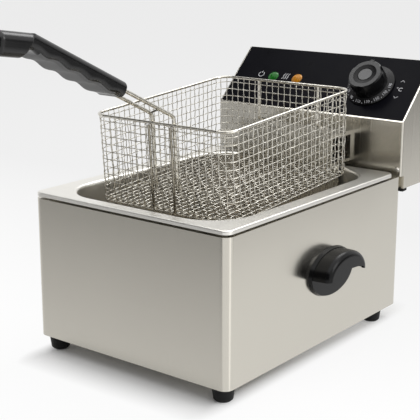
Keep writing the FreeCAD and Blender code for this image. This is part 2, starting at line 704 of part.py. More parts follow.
def head_back_cover():
    """Plate over the back of the head, with holes for the reset bush and the cord's grommet."""
    cover = box(-HEAD_SIDE, HEAD_SIDE, HEAD_BACK, COVER_BACK, HEAD_BOTTOM, PANEL_HEAD.z)
    holes = [screw_hole(seat, Vec(0, -1, 0), 2 * BACK_COVER_SHEET) for seat in cover_screw_seats()]
    bush_hole = (cutout_middle(), CUTOUT_BUSH_RADIUS + HOLE_CLEARANCE)
    grommet_hole = (grommet_middle(), GROMMET_NECK + RUNNING_CLEARANCE)
    for middle, radius in (bush_hole, grommet_hole):
        holes.append(Part.makeCylinder(radius, BACK_COVER_SHEET, middle, Vec(0, 1, 0)))
    return cover.cut(holes)


def back_cover_screws():
    """Screws that hold the back cover."""
    return group([screw(seat, Vec(0, -1, 0), SCREW_BITE) for seat in cover_screw_seats()])


def head_front_screws():
    """Screws at the lower corners of the head's face."""
    return group([screw(seat, Vec(0, 1, 0), SCREW_BITE) for seat in face_screw_seats()])


def head_bumper(sign):
    """Rubber block under the apron that keeps the head off the casing's rear."""
    middle = sign * (HEAD_SIDE - BUMPER_WIDTH / 2)
    front = REAR + SEAT_CLEARANCE
    block = box(middle - BUMPER_WIDTH / 2, middle + BUMPER_WIDTH / 2, front, front + BUMPER_DEPTH,
                HEAD_BOTTOM - BUMPER_HEIGHT, HEAD_BOTTOM)
    lower = edges_at(block, lambda p: abs(p.z - HEAD_BOTTOM + BUMPER_HEIGHT) < TOUCH)
    return block.makeChamfer(BUMPER_EDGE, lower)


def control_panel():
    """Black plate on the slope."""
    half = HEAD_SIDE - PANEL_MARGIN
    low, high = PANEL_MARGIN, PANEL_LENGTH - PANEL_MARGIN
    corners = [on_panel(-half, low, 0), on_panel(half, low, 0)]
    corners += [on_panel(half, high, 0), on_panel(-half, high, 0)]
    return prism(corners, PANEL_NORMAL * PANEL_SHEET).cut(panel_holes())


def lamp(x):
    """Domed lens with a stem through the panel."""
    dome = (LAMP_RADIUS ** 2 + LAMP_DOME ** 2) / (2 * LAMP_DOME)
    seat = on_panel(x, LAMP_UP_PANEL, PANEL_SHEET)
    ball = Part.makeSphere(dome, seat + PANEL_NORMAL * (LAMP_DOME - dome))
    lens = ball.common(Part.makeCylinder(LAMP_RADIUS, LAMP_DOME, seat, PANEL_NORMAL))
    stem = Part.makeCylinder(LAMP_STEM_RADIUS, PANEL_SHEET + HEAD_SHEET, seat, PANEL_NORMAL * -1)
    return lens.fuse(stem).removeSplitter()


def lamp_bodies():
    """Holders of the lamps behind the panel."""
    solids = []
    for x in (LAMP_GREEN_X, LAMP_AMBER_X):
        start = on_panel(x, LAMP_UP_PANEL, -HEAD_SHEET)
        solids.append(Part.makeCylinder(LAMP_BODY_RADIUS, LAMP_BODY_LENGTH, start, PANEL_NORMAL * -1))
    return group(solids)


def thermostat_body():
    """Round thermostat behind the panel, its bush standing through the panel."""
    seat = on_panel(KNOB_X, KNOB_UP_PANEL, -HEAD_SHEET)
    body = Part.makeCylinder(THERMOSTAT_RADIUS, THERMOSTAT_DEPTH, seat, PANEL_NORMAL * -1)
    bush = Part.makeCylinder(THERMOSTAT_BUSH_RADIUS, HEAD_SHEET + PANEL_SHEET, seat, PANEL_NORMAL)
    start = seat - PANEL_NORMAL * (SHAFT_IN_BODY + SEAT_CLEARANCE)
    length = SHAFT_IN_BODY + SEAT_CLEARANCE + HEAD_SHEET + PANEL_SHEET
    bore = Part.makeCylinder(SHAFT_RADIUS + RUNNING_CLEARANCE, length, start, PANEL_NORMAL)
    return body.fuse(bush).removeSplitter().cut(bore)


def switch_middle_y():
    """Middle of the head's ledge, where the switch stands."""
    return HEAD_FRONT + HEAD_SHEET + SEAT_CLEARANCE + SWITCH_DEPTH / 2


def micro_switch():
    """Switch on the ledge whose pin feels the casing's rim."""
    y = switch_middle_y()
    seat = CASING_TOP + HEAD_SHEET
    body = box(SWITCH_X - SWITCH_LENGTH / 2, SWITCH_X + SWITCH_LENGTH / 2,
               y - SWITCH_DEPTH / 2, y + SWITCH_DEPTH / 2, seat, seat + SWITCH_HEIGHT)
    pin_foot = Vec(SWITCH_X, y, CASING_TOP + SEAT_CLEARANCE)
    pin = Part.makeCylinder(SWITCH_PIN_RADIUS, seat - pin_foot.z, pin_foot)
    return body.fuse(pin).removeSplitter()


def cutout_middle():
    """Middle of the safety cut-out on the inner face of the back cover."""
    return Vec(CUTOUT_X, HEAD_BACK, CASING_TOP + CUTOUT_RISE)


def safety_cutout():
    """Cut-out behind the back cover, its bush standing out through the cover."""
    middle = cutout_middle()
    half = CUTOUT_SIZE / 2
    body = box(middle.x - half, middle.x + half, HEAD_BACK - CUTOUT_DEPTH, HEAD_BACK,
               middle.z - half, middle.z + half)
    bush = Part.makeCylinder(CUTOUT_BUSH_RADIUS, BACK_COVER_SHEET + CUTOUT_BUSH_REACH, middle, Vec(0, 1, 0))
    depth = RESET_IN_BODY + RESET_TRAVEL + 1
    length = depth + BACK_COVER_SHEET + CUTOUT_BUSH_REACH
    bore = Part.makeCylinder(RESET_RADIUS + RUNNING_CLEARANCE, length, middle - Vec(0, depth, 0), Vec(0, 1, 0))
    return body.fuse(bush).removeSplitter().cut(bore)


def reset_button():
    """Round button in the cut-out's bush."""
    start = cutout_middle() - Vec(0, RESET_IN_BODY, 0)
    length = RESET_IN_BODY + BACK_COVER_SHEET + CUTOUT_BUSH_REACH + RESET_REACH
    profile = [(0, 0), (RESET_RADIUS, 0), (RESET_RADIUS, length - RESET_EDGE)]
    profile += [(RESET_RADIUS - RESET_EDGE, length), (0, length)]
    return revolved(profile, start, Vec(0, 1, 0))


def terminal_block():
    """Block of screw terminals on the head's floor."""
    front = APRON_FRONT + HEAD_SHEET + TERMINAL_BEHIND_APRON
    floor = HEAD_BOTTOM + HEAD_SHEET
    half = TERMINAL_LENGTH / 2
    block = box(TERMINAL_X - half, TERMINAL_X + half, front, front + TERMINAL_DEPTH,
                floor, floor + TERMINAL_HEIGHT)
    ways = 4
    slot_width = TERMINAL_LENGTH / (2 * ways)
    for i in range(ways):
        x = TERMINAL_X - half + (2 * i + 0.5) * slot_width
        top = floor + TERMINAL_HEIGHT
        slot = box(x, x + slot_width, front, front + TERMINAL_DEPTH / 3, top - TERMINAL_HEIGHT / 3, top)
        block = block.cut(slot)
    return block


def grommet_middle():
    """Middle of the cord's inlet on the inner face of the back cover."""
    return Vec(GROMMET_X, HEAD_BACK, CASING_TOP + GROMMET_RISE)


def cord_grommet():
    """Grooved rubber ring in the back cover."""
    inner, outer = -GROMMET_LIP, BACK_COVER_SHEET + GROMMET_LIP
    profile = [(GROMMET_BORE, inner), (GROMMET_FLANGE, inner), (GROMMET_FLANGE, 0), (GROMMET_NECK, 0)]
    profile += [(GROMMET_NECK, BACK_COVER_SHEET), (GROMMET_FLANGE, BACK_COVER_SHEET)]
    profile += [(GROMMET_FLANGE - GROMMET_LIP / 2, outer), (GROMMET_BORE, outer)]
    return revolved(profile, grommet_middle(), Vec(0, 1, 0))


# Knob
def knob_seat():
    """Point on the knob's axis at the underside of its skirt."""
    return on_panel(KNOB_X, KNOB_UP_PANEL, PANEL_SHEET + KNOB_GAP)


def thermostat_knob():
    """Dished skirt for the scale, and a lobed grip with a pointer up the slope."""
    seat = knob_seat()
    profile = [(0, 0), (KNOB_SKIRT_RADIUS, 0), (KNOB_SKIRT_RADIUS, KNOB_SKIRT_EDGE)]
    profile += [(KNOB_GRIP_RADIUS, KNOB_SKIRT_CENTRE), (0, KNOB_SKIRT_CENTRE)]
    skirt = revolved(profile, Vec(0, 0, 0), Vec(0, 0, 1))
    shoulder = KNOB_SKIRT_CENTRE + KNOB_GRIP_HEIGHT - KNOB_GRIP_EDGE
    side = [(0, KNOB_SKIRT_CENTRE), (KNOB_GRIP_RADIUS, KNOB_SKIRT_CENTRE), (KNOB_GRIP_TOP_RADIUS, shoulder)]
    side += [(KNOB_GRIP_TOP_RADIUS - KNOB_GRIP_EDGE, shoulder + KNOB_GRIP_EDGE), (0, shoulder + KNOB_GRIP_EDGE)]
    grip = revolved(side, Vec(0, 0, 0), Vec(0, 0, 1))
    nose_end = KNOB_GRIP_TOP_RADIUS + KNOB_POINTER_REACH
    top = KNOB_SKIRT_CENTRE + KNOB_GRIP_HEIGHT
    half = KNOB_POINTER_WIDTH / 2
    nose = box(-half, half, 0, nose_end, KNOB_SKIRT_CENTRE, shoulder)
    away = KNOB_GRIP_RADIUS - KNOB_LOBE_BITE + KNOB_LOBE_RADIUS
    for i in range(KNOB_LOBES):
        turn = math.radians(90 + 360 / KNOB_LOBES * (i + 0.5))
        middle = Vec(away * math.cos(turn), away * math.sin(turn), KNOB_SKIRT_CENTRE)
        grip = grip.cut(Part.makeCylinder(KNOB_LOBE_RADIUS, KNOB_GRIP_HEIGHT, middle))
    bowl = (KNOB_DISH_RADIUS ** 2 + KNOB_DISH_DEPTH ** 2) / (2 * KNOB_DISH_DEPTH)
    dish = Part.makeSphere(bowl, Vec(0, 0, top - KNOB_DISH_DEPTH + bowl))
    recess_depth = KNOB_DISH_DEPTH + KNOB_CAP_RECESS
    recess = Part.makeCylinder(KNOB_CAP_RADIUS + HOLE_CLEARANCE, recess_depth, Vec(0, 0, top - recess_depth))
    bore = Part.makeCylinder(SHAFT_RADIUS + RUNNING_CLEARANCE, SHAFT_IN_KNOB + SEAT_CLEARANCE)
    knob = skirt.fuse([grip, nose]).removeSplitter().cut([dish, recess, bore])
    turn = FreeCAD.Rotation(Vec(1, 0, 0), PANEL_SLOPE)
    knob.Placement = FreeCAD.Placement(seat, turn)
    return knob


def knob_cap():
    """Plain disc in the top of the grip."""
    base = KNOB_SKIRT_CENTRE + KNOB_GRIP_HEIGHT - KNOB_DISH_DEPTH - KNOB_CAP_RECESS
    seat = knob_seat() + PANEL_NORMAL * base
    edge = KNOB_CAP_EDGE
    profile = [(0, 0), (KNOB_CAP_RADIUS, 0), (KNOB_CAP_RADIUS, KNOB_CAP_HEIGHT - edge)]
    profile += [(KNOB_CAP_RADIUS - edge, KNOB_CAP_HEIGHT), (0, KNOB_CAP_HEIGHT)]
    return revolved(profile, seat, PANEL_NORMAL)


def thermostat_shaft():
    """Shaft from the thermostat into the knob."""
    start = on_panel(KNOB_X, KNOB_UP_PANEL, -HEAD_SHEET - SHAFT_IN_BODY)
    length = SHAFT_IN_BODY + HEAD_SHEET + PANEL_SHEET + KNOB_GAP + SHAFT_IN_KNOB
    return Part.makeCylinder(SHAFT_RADIUS, length, start, PANEL_NORMAL)


# Element, its bracket and the bulbs
def element_bracket():
    """Folded cover: front plate with a hook lip, top, two open cheeks and inward tabs on the head's face."""
    side = BRACKET_SIDE
    sheet = BRACKET_SHEET
    low = ELEMENT_Z + ELEMENT_RADIUS + BRACKET_ELEMENT_GAP
    over_flange = FLANGE_TOP + BRACKET_FLANGE_GAP
    plate = box(-side, side, BRACKET_FRONT, BRACKET_FRONT + sheet, low, BRACKET_LIP_TOP)
    top = box(-side, side, BRACKET_FRONT + sheet, HEAD_FRONT, BRACKET_TOP - sheet, BRACKET_TOP)
    cheek_back = BRACKET_FRONT + BRACKET_CHEEK_DEPTH
    pieces = [top]
    for sign in (-1, 1):
        outline = [(BRACKET_FRONT, low), (cheek_back, low)]
        outline += [(cheek_back, over_flange), (HEAD_FRONT, over_flange)]
        outline += [(HEAD_FRONT, BRACKET_TOP), (BRACKET_FRONT, BRACKET_TOP)]
        pieces.append(prism([Vec(sign * side, y, z) for y, z in outline], Vec(-sign * sheet, 0, 0)))
        tab = sorted((sign * (side - sheet), sign * (side - sheet - BRACKET_TAB)))
        pieces.append(box(tab[0], tab[1], HEAD_FRONT - sheet, HEAD_FRONT, over_flange, BRACKET_TOP - sheet))
    bracket = plate.fuse(pieces).removeSplitter()
    inset = sheet + BRACKET_WINDOW_EDGE
    window = box(-2 * side, 2 * side, BRACKET_FRONT + inset, HEAD_FRONT - inset,
                 over_flange + BRACKET_WINDOW_EDGE, BRACKET_TOP - inset)
    depth = 2 * BRACKET_SHEET
    holes = [screw_hole(seat, Vec(0, 1, 0), depth) for seat in bracket_screw_seats()]
    return bracket.cut([window] + holes)


def bracket_screws():
    """Screws through the bracket's tabs into the head's face."""
    return group([screw(seat, Vec(0, 1, 0), SCREW_BITE) for seat in bracket_screw_seats()])


def heating_element():
    """One tube: in from the head, down behind the bracket and in loops over the tank's floor."""
    outer, inner = ELEMENT_OUTER_X, ELEMENT_INNER_X
    turn = ELEMENT_TURN_Y
    back = BRACKET_FRONT - ELEMENT_REAR_GAP
    left = [(outer, ELEMENT_END_Y, RUN_Z), (outer, RISER_Y, RUN_Z), (outer, RISER_Y, ELEMENT_Z)]
    left += [(outer, turn, ELEMENT_Z), (inner, turn, ELEMENT_Z), (inner, back, ELEMENT_Z)]
    points = [Vec(-x, y, z) for x, y, z in left]
    points += [Vec(x, y, z) for x, y, z in reversed(left)]
    return rod(points, ELEMENT_PITCH / 2, ELEMENT_RADIUS)


def element_nuts():
    """Nuts that hold the element's ends on the head's face."""
    solids = []
    for sign in (-1, 1):
        seat = Vec(sign * ELEMENT_OUTER_X, HEAD_FRONT, RUN_Z)
        nut = hexagon(ELEMENT_NUT_WIDTH, ELEMENT_NUT_HEIGHT, seat, Vec(0, -1, 0))
        bore = Part.makeCylinder(ELEMENT_RADIUS + HOLE_CLEARANCE, ELEMENT_NUT_HEIGHT, seat, Vec(0, -1, 0))
        solids.append(nut.cut(bore))
    return group(solids)


def element_braces():
    """Two flat strips under the element that also carry the bulbs."""
    half = ELEMENT_OUTER_X + ELEMENT_RADIUS + BRACE_OVERHANG
    solids = []
    for y in (BULB_FRONT + BULB_BRACE_INSET, BULB_FRONT + BULB_LENGTH - BULB_BRACE_INSET):
        solids.append(box(-half, half, y - BRACE_WIDTH / 2, y + BRACE_WIDTH / 2,
                          BRACE_TOP - BRACE_SHEET, BRACE_TOP))
    return group(solids)


def sensing_bulb(sign):
    """Bulb between two legs of the element, with its capillary up into the head."""
    x = sign * ELEMENT_PITCH
    z = BRACE_TOP + BULB_RADIUS
    bulb = Part.makeCylinder(BULB_RADIUS, BULB_LENGTH, Vec(x, BULB_FRONT, z), Vec(0, 1, 0))
    path = [Vec(x, BULB_FRONT + BULB_LENGTH, z), Vec(x, RISER_Y, z)]
    path += [Vec(x, RISER_Y, RUN_Z), Vec(x, ELEMENT_END_Y, RUN_Z)]
    return bulb.fuse(rod(path, CAPILLARY_BEND, CAPILLARY_RADIUS)).removeSplitter()


# Basket, built round the middle of its rim and then hung on the bracket
def rear_lean(z):
    """How far the rear wall leans back at a height, so that it is upright when the basket hangs."""
    return z * math.tan(PITCH)


def hang(shape):
    """Move a piece of the basket from its own frame to where it hangs."""
    rear_wall = BRACKET_FRONT - SEAT_CLEARANCE - 2 * HOOK_RADIUS
    rim_rear_z = BRACKET_TOP + SEAT_CLEARANCE + HOOK_RADIUS + HOOK_DROP
    half = BASKET_DEPTH / 2
    middle = Vec(BASKET_SIDEWAYS, rear_wall - half * math.cos(PITCH), rim_rear_z - half * math.sin(PITCH))
    hung = shape.copy()
    hung.Placement = FreeCAD.Placement(middle, FreeCAD.Rotation(Vec(1, 0, 0), BASKET_PITCH))
    return hung


def cells(length):
    """How many gaps a stretch of mesh holds."""
    return max(2, round(length / MESH_GAP_WIDTH))


def net(corners, columns, rows, vector, keep=None):
    """Flat mesh: one face with a gap in each cell of a four-sided outline, given thickness.

    The corners go round from the lower left. A cell is left solid where keep rejects one of its corners.
    """
    a, b, c, d = corners

    def at(u, v):
        return (a * (1 - u) + b * u) * (1 - v) + (d * (1 - u) + c * u) * v

    bar_u = MESH_WIRE / a.distanceToPoint(b)
    bar_v = MESH_WIRE / a.distanceToPoint(d)
    step_u = (1 - bar_u) / columns
    step_v = (1 - bar_v) / rows
    gaps = []
    for i in range(columns):
        for j in range(rows):
            u0, u1 = bar_u + i * step_u, (i + 1) * step_u
            v0, v1 = bar_v + j * step_v, (j + 1) * step_v
            gap = [at(u0, v0), at(u1, v0), at(u1, v1), at(u0, v1)]
            if keep is None or all(keep(p) for p in gap):
                gaps.append(Part.makePolygon(gap + gap[:1]))
    return gaps, vector


def holed(outline, gaps, vector):
    """Plate of one outline with gaps through it."""
    return Part.makeFace([outline] + gaps, "Part::FaceMakerBullseye").extrude(vector)


def quad_net(corners, columns, rows, vector):
    """Flat four-sided mesh wall."""
    gaps, thickness = net(corners, columns, rows, vector)
    return holed(Part.makePolygon(corners + corners[:1]), gaps, thickness)


def wall_rows():
    """Rows of gaps in the walls."""
    return cells(BASKET_HEIGHT)


def basket_rim():
    """Thick wire round the top of the mesh."""
    side, end = RIM_LINE_SIDE, RIM_LINE_END
    joint = Vec(0, end, 0)
    points = [joint, Vec(side, end, 0), Vec(side, -end, 0), Vec(-side, -end, 0), Vec(-side, end, 0), joint]
    return hang(rod(points, BASKET_CORNER - MESH_WIRE / 2, RIM_RADIUS))


def basket_front_net():
    """Front wall."""
    half = BASKET_WIDTH / 2 - BASKET_CORNER
    y = -BASKET_DEPTH / 2
    corners = [Vec(-half, y, NET_BOTTOM), Vec(half, y, NET_BOTTOM)]
    corners += [Vec(half, y, NET_TOP), Vec(-half, y, NET_TOP)]
    return hang(quad_net(corners, cells(2 * half), wall_rows(), Vec(0, MESH_WIRE, 0)))


def basket_rear_net():
    """Rear wall, leaning in towards its foot."""
    half = BASKET_WIDTH / 2 - BASKET_CORNER
    low = BASKET_DEPTH / 2 + rear_lean(NET_BOTTOM)
    high = BASKET_DEPTH / 2 + rear_lean(NET_TOP)
    corners = [Vec(-half, low, NET_BOTTOM), Vec(half, low, NET_BOTTOM)]
    corners += [Vec(half, high, NET_TOP), Vec(-half, high, NET_TOP)]
    return hang(quad_net(corners, cells(2 * half), wall_rows(), Vec(0, -MESH_WIRE, 0)))


def basket_side_net(sign):
    """Left or right wall, whose rear edge follows the lean."""
    x = sign * BASKET_WIDTH / 2
    front = BASKET_CORNER - BASKET_DEPTH / 2
    low = -front + rear_lean(NET_BOTTOM)
    high = -front + rear_lean(NET_TOP)
    corners = [Vec(x, front, NET_BOTTOM), Vec(x, low, NET_BOTTOM)]
    corners += [Vec(x, high, NET_TOP), Vec(x, front, NET_TOP)]
    return hang(quad_net(corners, cells(-2 * front), wall_rows(), Vec(-sign * MESH_WIRE, 0, 0)))


def basket_floor_net():
    """Floor with rounded corners."""
    half = BASKET_WIDTH / 2
    front = -BASKET_DEPTH / 2
    rear = BASKET_DEPTH / 2 + rear_lean(NET_BOTTOM)
    z = -BASKET_HEIGHT
    reach = BASKET_CORNER - MESH_WIRE

    def inside(p):
        dx = max(0, abs(p.x) - half + BASKET_CORNER)
        dy = max(0, p.y - rear + BASKET_CORNER, front + BASKET_CORNER - p.y)
        return math.hypot(dx, dy) <= reach + TOUCH

    corners = [Vec(-half, front, z), Vec(half, front, z), Vec(half, rear, z), Vec(-half, rear, z)]
    gaps, thickness = net(corners, cells(2 * half), cells(rear - front), Vec(0, 0, MESH_WIRE), inside)
    return hang(holed(level_loop(-half, half, front, rear, BASKET_CORNER, z), gaps, thickness))


def sector(middle, inner, outer, start, end):
    """Flat part of a ring between two angles."""

    def at(radius, angle):
        return middle + Vec(radius * math.cos(angle), radius * math.sin(angle), 0)

    half = (start + end) / 2
    edges = [Part.Arc(at(outer, start), at(outer, half), at(outer, end)).toShape()]
    edges.append(Part.makeLine(at(outer, end), at(inner, end)))
    edges.append(Part.Arc(at(inner, end), at(inner, half), at(inner, start)).toShape())
    edges.append(Part.makeLine(at(inner, start), at(outer, start)))
    return Part.Face(Part.Wire(edges))


def corner_net(sign, rear):
    """Rounded corner of the mesh, following the lean at the rear."""
    height = NET_TOP - NET_BOTTOM
    lean = rear_lean(NET_TOP) - rear_lean(NET_BOTTOM) if rear else 0
    fall = Vec(0, -lean, -height)
    end = 1 if rear else -1
    y = end * (BASKET_DEPTH / 2 - BASKET_CORNER) + (rear_lean(NET_TOP) if rear else 0)
    top = Vec(sign * (BASKET_WIDTH / 2 - BASKET_CORNER), y, NET_TOP)
    start = {(1, True): 0, (-1, True): 90, (-1, False): 180, (1, False): 270}[(sign, rear)]
    outer = BASKET_CORNER
    shell = sector(top, outer - MESH_WIRE, outer, math.radians(start), math.radians(start + 90)).extrude(fall)
    columns = cells(outer * math.pi / 2)
    rows = wall_rows()
    bar_angle = MESH_WIRE / outer
    step = (math.pi / 2 - bar_angle) / columns
    bar = MESH_WIRE / height
    row = (1 - bar) / rows
    gaps = []
    for i in range(columns):
        from_angle = math.radians(start) + bar_angle + i * step
        to_angle = math.radians(start) + (i + 1) * step
        for j in range(rows):
            gap_top = top + fall * (bar + j * row)
            face = sector(gap_top, outer - 2 * MESH_WIRE, outer + MESH_WIRE, from_angle, to_angle)
            gaps.append(face.extrude(fall * (row - bar)))
    return hang(shell.cut(gaps))


def basket_corner_nets():
    """The four rounded corners of the mesh."""
    return group([corner_net(sign, rear) for sign in (-1, 1) for rear in (False, True)])


def basket_hook():
    """One wire: down the rear wall, over the bracket's lip, across behind it and back up."""
    half = HOOK_HALF_SPACING
    wall = BRACKET_FRONT - SEAT_CLEARANCE - HOOK_RADIUS
    behind = BRACKET_FRONT + BRACKET_SHEET + HOOK_SLACK + HOOK_RADIUS
    bar = BRACKET_TOP + SEAT_CLEARANCE + HOOK_RADIUS
    over = BRACKET_LIP_TOP + SEAT_CLEARANCE + HOOK_RADIUS
    top = bar + HOOK_DROP - rim_to_hook()
    left = [(half, wall, top), (half, wall, over), (half, behind, over), (half, behind, bar)]
    middle = BASKET_SIDEWAYS + HANDLE_SIDEWAYS
    points = [Vec(middle - x, y, z) for x, y, z in left]
    points += [Vec(middle + x, y, z) for x, y, z in reversed(left)]
    return rod(points, HOOK_BEND, HOOK_RADIUS)


def rim_to_hook():
    """How far below the rim's line the hook's ends stop."""
    return RIM_RADIUS + SEAT_CLEARANCE


def front_stays():
    """Wire on the outside of the front wall, below the handle's rods."""
    y = -BASKET_DEPTH / 2 - STAY_RADIUS
    top = NET_TOP - SEAT_CLEARANCE
    low = STAY_RADIUS - BASKET_HEIGHT
    left, right = HANDLE_SIDEWAYS - ROD_HALF_SPACING, HANDLE_SIDEWAYS + ROD_HALF_SPACING
    points = [Vec(left, y, top), Vec(left, y, low), Vec(right, y, low), Vec(right, y, top)]
    return hang(rod(points, STAY_BEND, STAY_RADIUS))


# Basket handle, in the basket's own frame
HANDLE_RISE = math.radians(ROD_SLOPE)
ROD_AXIS = Vec(0, -math.cos(HANDLE_RISE), math.sin(HANDLE_RISE))
ROD_NORMAL = Vec(0, math.sin(HANDLE_RISE), math.cos(HANDLE_RISE))
ROD_LEG_Y = RIM_RADIUS + ROD_RADIUS + SEAT_CLEARANCE - RIM_LINE_END
ROD_CORNER = Vec(HANDLE_SIDEWAYS, ROD_LEG_Y, ROD_STAND)


def on_handle(x, along, above):
    """Point beside the rods: sideways, out from their bend and above their line."""
    return ROD_CORNER + ROD_AXIS * along + ROD_NORMAL * above + Vec(x, 0, 0)


def handle_rods():
    """Two rods that come in over the rim and down the inside of the front wall."""
    solids = []
    for sign in (-1, 1):
        x = sign * ROD_HALF_SPACING
        foot_point = Vec(ROD_CORNER.x + x, ROD_CORNER.y, -ROD_DROP)
        points = [foot_point, on_handle(x, 0, 0), on_handle(x, ROD_REACH + ROD_IN_GRIP, 0)]
        solids.append(hang(rod(points, ROD_BEND, ROD_RADIUS)))
    return group(solids)


def handle_bridge():
    """Thin arch between the rods, just beyond their bends."""
    half = ROD_HALF_SPACING - ROD_RADIUS - BRIDGE_RADIUS
    curve = (half ** 2 + BRIDGE_ARCH ** 2) / (2 * BRIDGE_ARCH)
    hub = on_handle(0, BRIDGE_FROM_BEND, BRIDGE_ARCH - curve)
    end = on_handle(half, BRIDGE_FROM_BEND, 0)
    spread = 2 * math.degrees(math.asin(half / curve))
    return hang(disc(end, ROD_AXIS.cross(end - hub), BRIDGE_RADIUS).revolve(hub, ROD_AXIS, spread))


def grip_wave(along, depth, swing):
    """Height of a wavy line under the grip, lowest at each finger's bump."""
    turn = 2 * math.pi * (along - GRIP_FIRST_BUMP) / GRIP_BUMP_PITCH
    return -depth - swing * math.cos(turn)


def wave_edge(x, start, end, depth, swing):
    """Smooth edge along a wavy line between two distances from the grip's near end."""
    points = []
    for i in range(GRIP_WAVE_STEPS + 1):
        along = start + (end - start) * i / GRIP_WAVE_STEPS
        points.append(on_handle(x, ROD_REACH + along, grip_wave(along, depth, swing)))
    curve = Part.BSplineCurve()
    curve.interpolate(points)
    return curve.toShape(), points[0], points[-1]


def beyond(p):
    """Distance of a point out along the rods from their bend."""
    return (p - ROD_CORNER).dot(ROD_AXIS)


def grip_bar():
    """Straight bar of the grip with its underside: rounded, with a wave for each finger."""
    x = -GRIP_WIDTH / 2
    under, low_start, low_end = wave_edge(x, 0, GRIP_LENGTH + GRIP_LAP, GRIP_BELOW_ROD, GRIP_BUMP)
    top_start = on_handle(x, ROD_REACH, GRIP_ABOVE_ROD)
    knee = on_handle(x, ROD_REACH + GRIP_LENGTH, GRIP_ABOVE_ROD)
    corners = [low_end, knee, top_start, low_start]
    edges = [under] + [Part.makeLine(a, b) for a, b in zip(corners, corners[1:])]
    bar = Part.Face(Part.Wire(edges)).extrude(Vec(GRIP_WIDTH, 0, 0))
    bar = bar.makeFillet(GRIP_ROUND, [edge for edge in bar.Edges if edge.Length > GRIP_LENGTH / 2])
    near_end = edges_at(bar, lambda p: abs(beyond(p) - ROD_REACH) < TOUCH)
    return bar.makeFillet(GRIP_END_ROUND, near_end)


def grip_tail():
    """Thicker rounded end of the grip beyond the knee, with a collar round its near end."""
    turn = math.radians(TAIL_TURN)
    ahead = (math.cos(turn), -math.sin(turn))
    down = (-math.sin(turn), -math.cos(turn))

    def corner(run, drop):
        along = ROD_REACH + GRIP_LENGTH + run * ahead[0] + drop * down[0]
        return on_handle(-TAIL_WIDTH / 2, along, GRIP_ABOVE_ROD + run * ahead[1] + drop * down[1])

    outline = [corner(0, 0), corner(TAIL_LENGTH, 0)]
    outline += [corner(TAIL_LENGTH, TAIL_HEIGHT), corner(TAIL_SLANT, TAIL_HEIGHT)]
    tail = prism(outline, Vec(TAIL_WIDTH, 0, 0))
    run = (outline[1] - outline[0]).normalize()

    def along_run(edge):
        ends = edge.Vertexes
        way = ends[-1].Point - ends[0].Point
        return way.cross(run).Length < TOUCH

    tail = tail.makeFillet(TAIL_ROUND, [edge for edge in tail.Edges if along_run(edge)])
    far = outline[1].dot(run)
    tail = tail.makeFillet(TAIL_END_ROUND, edges_at(tail, lambda p: abs(p.dot(run) - far) < TOUCH))
    slant = (outline[3] - outline[0]).cross(Vec(1, 0, 0)).normalize()
    near = outline[0].dot(slant)
    return tail.makeFillet(TAIL_COLLAR_ROUND, edges_at(tail, lambda p: abs(p.dot(slant) - near) < TOUCH))


def insert_zone():
    """Space under a wavy line where the soft underside lies, tapering out at the near end."""
    x = -GRIP_WIDTH
    line, first, last = wave_edge(x, INSERT_START, INSERT_END, INSERT_BELOW_ROD, INSERT_WAVE)
    floor = -2 * GRIP_BELOW_ROD
    corners = [last, on_handle(x, ROD_REACH + INSERT_END, floor)]
    corners += [on_handle(x, ROD_REACH + INSERT_START - INSERT_TAPER, floor), first]
    edges = [line] + [Part.makeLine(a, b) for a, b in zip(corners, corners[1:])]
    return Part.Face(Part.Wire(edges)).extrude(Vec(2 * GRIP_WIDTH, 0, 0))


def handle_grip():
    """Black grip with a bore for each rod."""
    grip = grip_bar().cut(insert_zone()).fuse(grip_tail()).removeSplitter()
    for sign in (-1, 1):
        start = on_handle(sign * ROD_HALF_SPACING, ROD_REACH, 0)
        bore = Part.makeCylinder(ROD_RADIUS + RUNNING_CLEARANCE, ROD_IN_GRIP + SEAT_CLEARANCE, start, ROD_AXIS)
        grip = grip.cut(bore)
    return hang(grip)


def grip_insert():
    """Soft underside of the grip with a bump for each finger."""
    return hang(grip_bar().common(insert_zone()))


